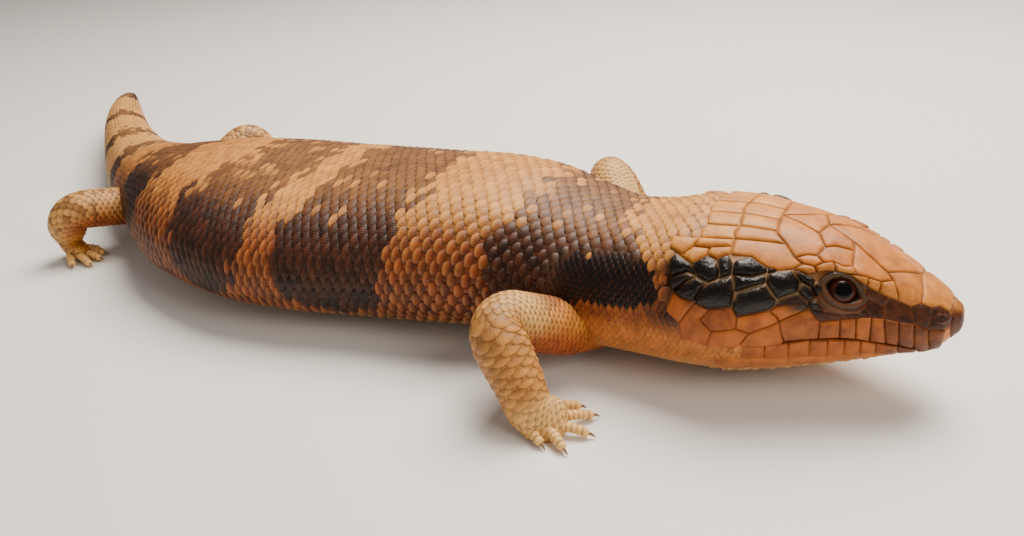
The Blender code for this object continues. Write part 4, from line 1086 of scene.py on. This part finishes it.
def cutShield(kind, flat):
    # one shield in the flat: set in from its seams, its corners rounded, its top ringed and gridded
    cell = bmesh.new()
    core = cell.faces.new([cell.verts.new((x, y, 0)) for x, y in flat])
    core.normal_update()
    made = bmesh.ops.inset_region(cell, faces=[core], thickness=shields["gap"], use_boundary=True, use_even_offset=True)["faces"]
    bmesh.ops.delete(cell, geom=made, context="FACES")
    shortest = min(e.calc_length() for e in cell.edges)
    corner = shields["corner"] * (0.5 if kind.endswith("Lip") else 1)
    bmesh.ops.bevel(cell, geom=cell.verts[:], offset=min(corner, shortest * 0.4), offset_type="OFFSET", segments=2,
                    profile=0.5, affect="VERTICES", material=-1, clamp_overlap=True)
    outline = np.array([(e.verts[0].co[:2], e.verts[1].co[:2]) for e in cell.edges if e.is_boundary])
    core = cell.faces[:][0]
    centre = core.calc_center_median_weighted()
    inner = edgeDistance(np.array([centre[:2]]), outline)[0]
    wide = min(shieldLook[kind][3], inner * 0.4)
    before = 0
    for ring in (wide * 0.3, wide * 0.7, wide * 1.3):
        core = bmesh.ops.extrude_discrete_faces(cell, faces=[core])["faces"][0]
        shrink = (inner - ring) / (inner - before)
        before = ring
        for vert in core.verts:
            vert.co = centre + (vert.co - centre) * shrink
    low = np.min([v.co[:2] for v in cell.verts], 0)
    high = np.max([v.co[:2] for v in cell.verts], 0)
    for axis in (0, 1):
        lines = max(2, round((high[axis] - low[axis]) / shields["cell"]))
        for t in np.linspace(low[axis], high[axis], lines + 1)[1:-1]:
            place, way = [0, 0, 0], [0, 0, 0]
            place[axis], way[axis] = t, 1
            bmesh.ops.bisect_plane(cell, geom=cell.verts[:] + cell.edges[:] + cell.faces[:], dist=0.02, plane_co=place, plane_no=way)
    return cell, outline, wide


def buildShields():
    rng = np.random.default_rng(31)
    whole = bmesh.new()
    marks, relief, lanes, uvs = [], [], [], []
    for kind, points in shieldRows:
        s0, turn0 = points.mean(0)
        degree = perDegree(s0)
        rise, dome, tilt, _ = shieldLook[kind]
        cell, outline, wide = cutShield(kind, (points - (s0, turn0)) * (1, degree))
        flat = np.array([v.co[:2] for v in cell.verts])
        gap = edgeDistance(flat, outline)
        heart = flat.mean(0)
        lift = shields["edge"] + (rise - shields["edge"]) * np.clip(gap / wide, 0, 1) ** 0.55
        lift = lift + dome * (1 - (1 - np.clip(gap / gap.max(), 0, 1)) ** 2) + tilt * (flat[:, 0] - heart[0])
        edge = np.exp(-gap / shields["suture"])
        edges = [e for e in cell.edges if e.is_boundary]
        made = bmesh.ops.extrude_edge_only(cell, edges=edges)["geom"]
        skirt = [g for g in made if isinstance(g, bmesh.types.BMVert)]
        bmesh.ops.holes_fill(cell, edges=[e for e in cell.edges if e.is_boundary], sides=0)
        flat = np.concatenate([flat, np.array([v.co[:2] for v in skirt])])
        lift = np.concatenate([lift, np.full(len(skirt), shields["edge"] - shields["skirt"])])
        edge = np.concatenate([edge, np.ones(len(skirt))])
        along = flat[:, 0] + s0
        turn = turn0 + flat[:, 1] / degree
        places = bodyPoint(along, turn, lift)
        cell.verts.ensure_lookup_table()
        for vert, place in zip(cell.verts, places):
            vert.co = place
        bmesh.ops.recalc_face_normals(cell, faces=cell.faces)
        part = bpy.data.meshes.new("shield")
        cell.to_mesh(part)
        cell.free()
        whole.from_mesh(part)
        bpy.data.meshes.remove(part)
        look = shieldPaint(kind, along, turn, edge, s0, turn0, rng)
        marks.append(look[0])
        relief.append(look[1])
        lanes.append(np.stack([flat[:, 0], flat[:, 1], np.full(len(flat), rng.random() * 9)], -1))
        uvs.append(np.stack([(turn + 180) / 360, (along + 4) / 444], -1))
    piece = finishMesh(whole, "headShields", shieldFinish, 70)
    paintPoints(piece.data, np.concatenate(marks), np.concatenate(relief))
    addLane(piece.data, np.concatenate(lanes))
    bakeMap(piece.data, np.concatenate(uvs))
    return piece


# Dark, warm, black, tone and rim of each kind of shield
shieldPaints = {
    "middle": (0.03, 0.1, 0, 0.34, 0.6), "crown": (0.03, 0.1, 0, 0.4, 0.66), "nape": (0.1, 0.14, 0, 0.42, 0.7),
    "brow": (0.1, 0.35, 0, 0.5, 0.7), "loreal": (0.86, 0.95, 0.12, 0.8, 0.5), "temple": (0.95, 0.6, 0.95, 0.7, 1.0),
    "seam": (0.0, 0.85, 0, 0.35, 0.6), "cheek": (0.0, 0.85, 0, 0.5, 0.2), "upperLip": (0.04, 0.8, 0, 0.58, 0.4),
    "lowerLip": (0.0, 0.85, 0, 0.42, 0.4), "chin": (0.0, 0.72, 0, 0.3, 0.1)}


def shieldPaint(kind, s, turn, edge, s0, turn0, rng):
    dark, warm, black, tone, rim = shieldPaints[kind]
    full = np.full(len(s), 1.0)
    side = np.abs(turn)
    if kind in ("middle", "crown"):
        front = float(ease(-s0, -16, -7))                              # the snout is browner
        middle = float(ease(-s0, -46, -38)) * (1 - front)
        warm, tone = warm + 0.2 * front + 0.42 * middle + 0.1 * float(ease(abs(turn0), 15, 40)), tone + 0.15 * front - 0.1 * middle
    if kind in ("upperLip", "lowerLip"):
        front = float(ease(-s0, -19, -8))
        dark, tone, rim = dark + 0.5 * front, tone + 0.3 * front, rim * (1 - 0.5 * front)
    tone = float(np.clip(rng.normal(tone, 0.07), 0, 1))
    blacks = full * black
    if kind == "seam":
        blacks = ease(side + (s - s0) * 0.8, 73.5, 70) * 0.95
    if kind in ("temple", "seam"):
        upper = ease(-(side - abs(turn0)) * perDegree(s0), 0.2, 1.8)   # only the upper edge is pale: brownish edges with a painted highlight where light from above catches them
        pale = np.minimum(1, edge * 1.7) * (0.05 + 0.95 * upper)
        edge = np.where(blacks > 0.5, pale, edge)
    marks = np.stack([full * dark, full * warm, blacks], -1)
    relief = np.stack([edge * rim, full * tone, full * 0], -1)
    return marks, relief


headShields = buildShields()
print("head shields cut:", len(headShields.data.polygons), "faces")


def bodyChooses(s, turn):
    free = (s > 67) | ~onShield(s + 0.9 * ease(s, 44, 50), turn)
    ear = featureShare("ear", s, turn, 1.25) > 1
    eye = featureShare("eye", s, turn, 2.6) > 1
    return free & ear & eye & (fineSkin(s, turn) < 0.5) & ~((s < 12) & (np.abs(turn) < 140))


def neckChooses(s, turn):
    return (fineSkin(s, turn) >= 0.35) & ((s > 67) | ~onShield(s + 0.5, turn)) & (featureShare("ear", s, turn, 1.2) > 1)


bodyCoat = layCoat("body", bodyChooses)
stretches = (("scalesFront", 0, 112), ("scalesMiddle", 112, 150), ("scalesWaist", 150, 184), ("scalesRear", 184, 222),
             ("scalesHip", 222, 262), ("scalesTail", 262, 322), ("scalesTailEnd", 322, 440))
coatPieces = [dressCoat(name, bodyCoat, scaleFinish, (bodyCoat["s"] >= low) & (bodyCoat["s"] < high)) for name, low, high in stretches]
neckCoat = layCoat("neck", neckChooses)
coatPieces.append(dressCoat("scalesNeck", neckCoat, scaleFinish, neckCoat["s"] > 0))


# Limbs' coat, in stretches: where each ends (past the bend or the wrist), half columns, how much wider the outer
# scales are, and the pitch of the rows
limbCoat = {
    "fore": (("bend", 1, 30, 1.0, 0.8), ("wristAt", -4, 16, 1.5, 1.4), ("total", 2, 22, 1.0, 0.84)),
    "hind": (("bend", 2, 26, 1.0, 0.95), ("wristAt", -3, 20, 1.2, 1.15), ("total", 2, 20, 1.0, 0.85)),
    "first": 9.0, "length": 2.8, "broad": 0.96, "seed": 12, "outerSpread": 70, "thick": 0.42, "low": 1.0}


def limbColumns(count, outer):
    # middle and half width, in degrees, of each half column round a limb
    even = (np.arange(count) + 0.5) / count * 360 - 180
    weight = 1 + (outer - 1) * np.exp(-(even / limbCoat["outerSpread"]) ** 2)
    ends = np.concatenate([[0], np.cumsum(weight)]) / weight.sum() * 360 - 180
    half = (np.roll(weight, 1) / 2 + weight + np.roll(weight, -1) / 2) / weight.sum() * 180
    return (ends[1:] + ends[:-1]) / 2, half


def coverLimb(name):
    limb = limbShapes[name]
    rng = np.random.default_rng(limbCoat["seed"] + len(name))
    co, rim, faces = scaleForm
    points, hearts = [], []
    root, row = limbCoat["first"], 0
    for mark, past, count, outer, pitch in limbCoat["fore" if limb["fore"] else "hind"]:
        middle, half = limbColumns(count, outer)
        root -= pitch * (1.6 if row else 0)
        while root < limb[mark] + past:
            for column in range(row % 2, count, 2):
                s = root + co[:, 1] * pitch * limbCoat["length"] * rng.uniform(0.96, 1.06)
                turn = middle[column] + co[:, 0] * half[column] * limbCoat["broad"] + rng.uniform(-1, 1)
                lift = co[:, 2] * limbCoat["thick"] * min(1.5, pitch ** 1.5) * rng.uniform(0.92, 1.08)
                points.append(limbPoint(limb, np.minimum(s, limb["total"] - 0.1), turn, lift))
                hearts.append((root + pitch * 1.8, middle[column], pitch))
            root += pitch
            row += 1
    points, hearts = np.array(points), np.array(hearts)
    heart = points.mean(1)
    s, turn = bodyPlace(heart)
    away = ((heart - bodyPoint(s, turn)) * bodyOut(s, turn)).sum(-1)
    keep = (away > -0.5) & (heart[:, 2] > limbCoat["low"]) & (hearts[:, 0] < limb["total"] - 0.6)
    return points[keep], hearts[keep], s[keep], turn[keep]


def limbMarks(limb, hearts, bodyS, bodyTurn, rng):
    # dark, warm, tone and pale of each scale of a limb
    s, side = hearts[:, 0], np.abs(hearts[:, 1])
    count = len(s)
    under = ease(side, 60, 120)
    joint = 1 - ease(s, 20, 34)
    if limb["fore"]:
        upper = 1 - ease(s, limb["bend"] - 8, limb["bend"] + 2)
        hand = ease(s, limb["wristAt"] - 5, limb["wristAt"] + 1)
        dark, _, _ = hideMarks(bodyS, bodyTurn)
        dark = dark * joint * 0.5 + 0.03
        warm = 0.06 + 0.8 * under * upper + 0.35 * joint + 0.1 * (1 - upper) * (1 - hand)
        # the forearm's darker tone is painted shade
        tone = 0.1 * upper + 0.72 * (1 - upper) * (1 - hand) + 0.15 * hand
        pale = (0.85 * upper * (1 - under) + 0.75 * hand + 0.2 * (1 - upper) * (1 - hand)) * (1 - joint)
    else:
        knee = np.exp(-((s - limb["bend"]) / 9) ** 2)
        dark = np.where(rng.random(count) < 0.05 + 0.3 * knee * (1 - under), 0.62, 0.05)
        warm = 0.14 + 0.6 * under * (1 - ease(s, limb["bend"], limb["bend"] + 12)) + 0.3 * joint
        tone = np.full(count, 0.34)
        pale = 0.4 * (1 - under)
    tone = np.clip(tone + rng.normal(0, 0.12, count), 0, 1)
    return dark, np.clip(warm + rng.normal(0, 0.04, count), 0, 1), tone, pale


def dressLimbs():
    rng = np.random.default_rng(5)
    co, rim, faces = scaleForm
    pieces = []
    for end, names in (("Fore", ("foreRight", "foreLeft")), ("Hind", ("hindRight", "hindLeft"))):
        rows = [coverLimb(name) for name in names]
        points = np.concatenate([r[0] for r in rows])
        hearts = np.concatenate([r[1] for r in rows])
        which = np.concatenate([np.full(len(r[0]), k) for k, r in enumerate(rows)])
        looks = [limbMarks(limbShapes[name], *r[1:], rng) for name, r in zip(names, rows)]
        dark, warm, tone, pale = (np.concatenate(c) for c in zip(*looks))
        piece = repeatMesh("scales" + end, points, faces, scaleFinish)
        count, size = points.shape[:2]
        wide = lambda v: np.repeat(v[:, None], size, 1).ravel()
        marks = np.stack([wide(dark), wide(warm), np.zeros(count * size)], -1)
        relief = np.stack([np.tile(rim, count) * 0.78, wide(tone), wide(pale)], -1)
        paintPoints(piece.data, marks, relief)
        addLane(piece.data, np.stack([np.tile(co[:, 0], count), np.tile(co[:, 1], count), wide(rng.random(count) * 9)], -1))
        places = np.stack([which.repeat(size) * 0.5 + (wide(hearts[:, 1]) + 180) / 730 + np.tile(co[:, 0], count) * 0.0015,
                           wide(hearts[:, 0]) / 110 + np.tile(co[:, 1], count) * 0.003], -1)
        bakeMap(piece.data, places)
        pieces.append(piece)
        print(piece.name, count, "scales")
    return pieces


coatPieces += dressLimbs()


# Eyes: a ball with a round pupil under a low bulge, and lids of beaded folds round it
eyes = {"radius": 4.35, "bulge": 0.25, "pupil": 0.4, "iris": 0.78, "rings": 28, "sides": 56,
        "lidRings": ((2.15, -0.7), (1.9, 0.0), (1.66, 0.34), (1.5, 0.3), (1.4, 0.02), (1.3, 0.28), (1.17, 0.62), (1.05, 0.66), (0.98, 0.5)),
        "lidTurns": 88, "beads": 30, "brow": 0.75}
eyePaint = {"iris": (50, 17, 9), "irisEdge": (14, 6, 4), "pupil": (2, 2, 2), "gleam": (84, 32, 15)}


def eyeCentre(side):
    s, turn = features["eye"]["at"]
    along, normal, over = skinAxes(s, turn * side)
    return bodyPoint(s, turn * side) - normal * features["eye"]["sunk"], along, normal, over


def eyeFinish():
    surface = bpy.data.materials.new("eyeFinish")
    surface.use_nodes = True
    tree = surface.node_tree
    add = nodeMaker(tree)
    shader = tree.nodes["Principled BSDF"]
    gaze = add("ShaderNodeAttribute", {"attribute_name": "gaze"}).outputs[1]
    parts = add("ShaderNodeSeparateXYZ", i0=gaze).outputs
    flat = add("ShaderNodeCombineXYZ", i0=parts[0], i1=parts[1], i2=0.0).outputs[0]
    reach = add("ShaderNodeVectorMath", {"operation": "LENGTH"}, i0=flat).outputs["Value"]
    rays = add("ShaderNodeTexNoise", Vector=gaze, Scale=9.0, Detail=4.0, Roughness=0.7).outputs[0]
    iris = mixOf(add, rays, paint(*eyePaint["irisEdge"]), paint(*eyePaint["gleam"]))
    iris = mixOf(add, 0.55, iris, paint(*eyePaint["iris"]))
    edge = add("ShaderNodeMapRange", {"interpolation_type": "SMOOTHSTEP"}, Value=reach, i1=eyes["iris"] - 0.2, i2=eyes["iris"]).outputs[0]
    colour = mixOf(add, edge, iris, paint(*eyePaint["irisEdge"]))
    hole = add("ShaderNodeMapRange", {"interpolation_type": "SMOOTHSTEP"}, Value=reach, i1=eyes["pupil"] - 0.02,
               i2=eyes["pupil"] + 0.04).outputs[0]
    colour = mixOf(add, hole, paint(*eyePaint["pupil"]), colour)
    tree.links.new(colour, shader.inputs["Base Color"])
    shader.inputs["Roughness"].default_value = 0.3
    shader.inputs["Specular IOR Level"].default_value = 0.1
    shader.inputs["Coat Weight"].default_value = 0.22
    shader.inputs["Coat Roughness"].default_value = 0.03
    return surface


def buildEyes():
    whole = bmesh.new()
    gazes = []
    for side in (1, -1):
        centre, along, normal, over = eyeCentre(side)
        ball = bmesh.new()
        bmesh.ops.create_uvsphere(ball, u_segments=eyes["sides"], v_segments=eyes["rings"], radius=1)
        co = np.array([v.co for v in ball.verts])
        bulge = 1 + eyes["bulge"] / eyes["radius"] * ease(co[:, 2], 0.72, 0.98)
        places = centre + (along * co[:, :1] + over * co[:, 1:2] + normal * co[:, 2:]) * (eyes["radius"] * bulge)[:, None]
        for vert, place in zip(ball.verts, places):
            vert.co = place
        gazes.append(co * np.where(co[:, 2:] > 0, 1, 3))
        bmesh.ops.recalc_face_normals(ball, faces=ball.faces)
        part = bpy.data.meshes.new("ball")
        ball.to_mesh(part)
        ball.free()
        whole.from_mesh(part)
        bpy.data.meshes.remove(part)
    piece = finishMesh(whole, "eyes", eyeFinish(), 180)
    data = piece.data.attributes.new("gaze", "FLOAT_VECTOR", "POINT")
    data.data.foreach_set("vector", np.concatenate(gazes).astype(np.float32).ravel())
    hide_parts("eye_left", "eye_right")
    return piece


def buildLids():
    # a ring of folds from the skin round the eye in to the ball; the upper one juts out as the brow
    spec = features["eye"]
    s0, turn0 = spec["at"]
    half = spec["opening"]
    degree = perDegree(s0)
    rings = list(eyes["lidRings"])
    whole = bmesh.new()
    marks, relief = [], []
    for side in (1, -1):
        centre, _, _, _ = eyeCentre(side)
        profile_ = rings + [(0.92, "ball"), (0.99, -1.2), (2.15, -2.0)]
        def place(row, share):
            angle = share * math.tau
            wave = np.cos(angle), np.sin(angle)
            reach = np.array([p[0] for p in profile_])[row]
            x = wave[0] * half[0] * reach * (1 + 0.1 * wave[0] ** 2)
            y = wave[1] * np.abs(wave[1]) ** 0.3 * half[1] * reach + spec["tilt"] * x
            upper = np.clip(wave[1], 0, 1)
            lift = np.array([0 if p[1] == "ball" else p[1] for p in profile_])[row]
            crest = np.exp(-((reach - 1.12) / 0.16) ** 2)
            lift = lift + eyes["brow"] * upper * crest * 0.5
            ends = ease(np.abs(wave[0]), 0.55, 0.9) * ease(reach, 1.15, 1.3) * (np.array([p[1] != "ball" for p in profile_])[row])
            lift = lift - 0.42 * ends
            bead = np.abs(np.sin(angle * eyes["beads"] / 2)) ** 0.5 - 0.6
            lift = lift + 0.14 * bead * (np.exp(-((reach - 1.17) / 0.1) ** 2) + np.exp(-((reach - 1.6) / 0.14) ** 2))
            points = bodyPoint(s0 + x, (turn0 - y / degree) * side, lift)
            onBall = np.array([p[1] == "ball" for p in profile_])[row]
            toward = unit(points - centre) * (eyes["radius"] + 0.06) + centre
            return np.where(onBall[:, None], toward, points)
        bm = wrapRing(len(profile_), eyes["lidTurns"], place)
        part = bpy.data.meshes.new("lid")
        bm.to_mesh(part)
        bm.free()
        whole.from_mesh(part)
        bpy.data.meshes.remove(part)
    points = np.array([v.co for v in whole.verts])
    s, turn = bodyPlace(points)
    reach = featureShare("eye", s, turn)
    count = len(points)
    upper = ease(turn0 - np.abs(turn), -2, 8)
    pale = np.exp(-((reach - 1.08) / 0.09) ** 2) * (1 - 0.6 * upper) + 0.8 * np.exp(-((reach - 1.58) / 0.14) ** 2) * (1 - upper)
    inner = 1 - ease(reach, 0.86, 1.0)
    pale = pale * (0.25 + 0.75 * ease(np.abs(turn) - turn0, -1, 4))
    dark = np.clip(1.0 - 0.5 * pale + inner, 0, 1)
    piece = finishMesh(whole, "eyelids", shieldFinish, 180)
    paintPoints(piece.data, np.stack([dark, np.full(count, 0.8), np.maximum(inner, 0.68 - 0.68 * pale)], -1),
                np.stack([np.full(count, 0.1), np.full(count, 0.6), np.zeros(count)], -1))
    return piece


def wrapRing(rows, columns, place):
    # a grid rolled both ways, so that its last row meets its first
    bm = bmesh.new()
    bmesh.ops.create_grid(bm, x_segments=rows, y_segments=columns, size=0.5)
    co = np.array([v.co for v in bm.verts])
    row = np.rint((co[:, 0] + 0.5) * rows).astype(int) % rows
    points = place(row, np.mod(co[:, 1] + 0.5, 1.0))
    for vert, point in zip(bm.verts, points):
        vert.co = point
    bmesh.ops.remove_doubles(bm, verts=bm.verts, dist=0.0005)
    bmesh.ops.recalc_face_normals(bm, faces=bm.faces)
    return bm


eyeBalls = buildEyes()
eyelids = buildLids()
print("eyes and lids made")


# The snout: a cap of horn at its tip, the chin's front shield, and a raised ring round each nostril
snout = {"rows": (-3.38, -3.2, -2.7, -2.0, -1.2, -0.4, 0.4, 1.0, 1.35, 1.52, 1.6), "rise": 0.26,
         "nostrilRings": ((2.9, -0.3), (2.4, 0.05), (1.8, 0.2), (1.35, 0.26), (1.05, 0.14), (0.9, -0.2), (0.75, -0.55), (0.4, -0.7))}


def buildSnout():
    rows = np.array(snout["rows"])
    def place(row, share):
        s = rows[row]
        lift = snout["rise"] * (1 - ease(s, 0.9, 1.62) * 2.2)
        return bodyPoint(s, 180 - share * 360, lift)
    whole = wrapGrid(len(rows), 48, place)
    spec = features["nostril"]
    s0, turn0 = spec["at"]
    degree = perDegree(s0)
    for side in (1, -1):
        def ring(row, share):
            angle = share * math.tau
            reach = np.array([p[0] for p in snout["nostrilRings"]])[row]
            lift = np.array([p[1] for p in snout["nostrilRings"]])[row] + 0.1
            return bodyPoint(s0 + np.cos(angle) * spec["half"][0] * reach,
                             (turn0 - np.sin(angle) * spec["half"][1] * reach / degree) * side, lift)
        bm = wrapGrid(len(snout["nostrilRings"]), 28, ring)
        part = bpy.data.meshes.new("nostril")
        bm.to_mesh(part)
        bm.free()
        whole.from_mesh(part)
        bpy.data.meshes.remove(part)
    points = np.array([v.co for v in whole.verts])
    s, turn = bodyPlace(points)
    # the nostril's opening is painted black: painted shade in the hole
    hole = 1 - ease(featureShare("nostril", s, turn), 0.9, 1.25)
    hole = hole * (s > 1.0)
    piece = finishMesh(whole, "snout", shieldFinish, 70)
    count = len(points)
    dark = 0.46 + 0.44 * ease(np.abs(turn), 20, 50) - 0.35 * ease(s, 1.9, 2.2) * (1 - ease(np.abs(turn), 46, 54))
    paintPoints(piece.data, np.stack([np.clip(dark + hole, 0, 1), 0.4 + 0.5 * ease(np.abs(turn), 30, 60), hole], -1),
                np.stack([np.full(count, 0.0), np.full(count, 0.55), np.zeros(count)], -1))
    return piece


snoutPiece = buildSnout()
print("snout made")


def buildClaws():
    whole = bmesh.new()
    for limb in limbShapes.values():
        for ends in hands["fingers" if limb["fore"] else "toes"]:
            start, tip = toeLine(limb, ends)
            way = unit(tip - start)
            line = [tip + way * past + np.array([0, 0, rise]) for past, rise, _ in hands["claw"]]
            keys = np.linspace(0, 1, len(line))
            fine = np.linspace(0, 1, 12)
            line = np.stack([smooth(list(zip(keys, np.array(line)[:, k])), 1, fine) for k in range(3)], -1)
            radii = smooth(list(zip(keys, [p[2] for p in hands["claw"]])), 1, fine)
            bm = tubeOf(line, [(r * 0.8, r) for r in radii], 14)
            part = bpy.data.meshes.new("claw")
            bm.to_mesh(part)
            bm.free()
            whole.from_mesh(part)
            bpy.data.meshes.remove(part)
    surface = bpy.data.materials.new("clawFinish")
    surface.use_nodes = True
    add = nodeMaker(surface.node_tree)
    shader = surface.node_tree.nodes["Principled BSDF"]
    place = add("ShaderNodeTexCoord").outputs["Object"]
    streak = add("ShaderNodeTexNoise", Vector=place, Scale=900.0, Detail=3.0).outputs[0]
    surface.node_tree.links.new(mixOf(add, streak, paint(84, 56, 36), paint(156, 114, 74)), shader.inputs["Base Color"])
    shader.inputs["Roughness"].default_value = 0.3
    shader.inputs["Coat Weight"].default_value = 0.3
    return finishMesh(whole, "claws", surface, 60)


claws = buildClaws()
print("claws made")


for piece in [skin, toes, headShields, eyeBalls, eyelids, snoutPiece, claws] + coatPieces:
    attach(piece, "root")
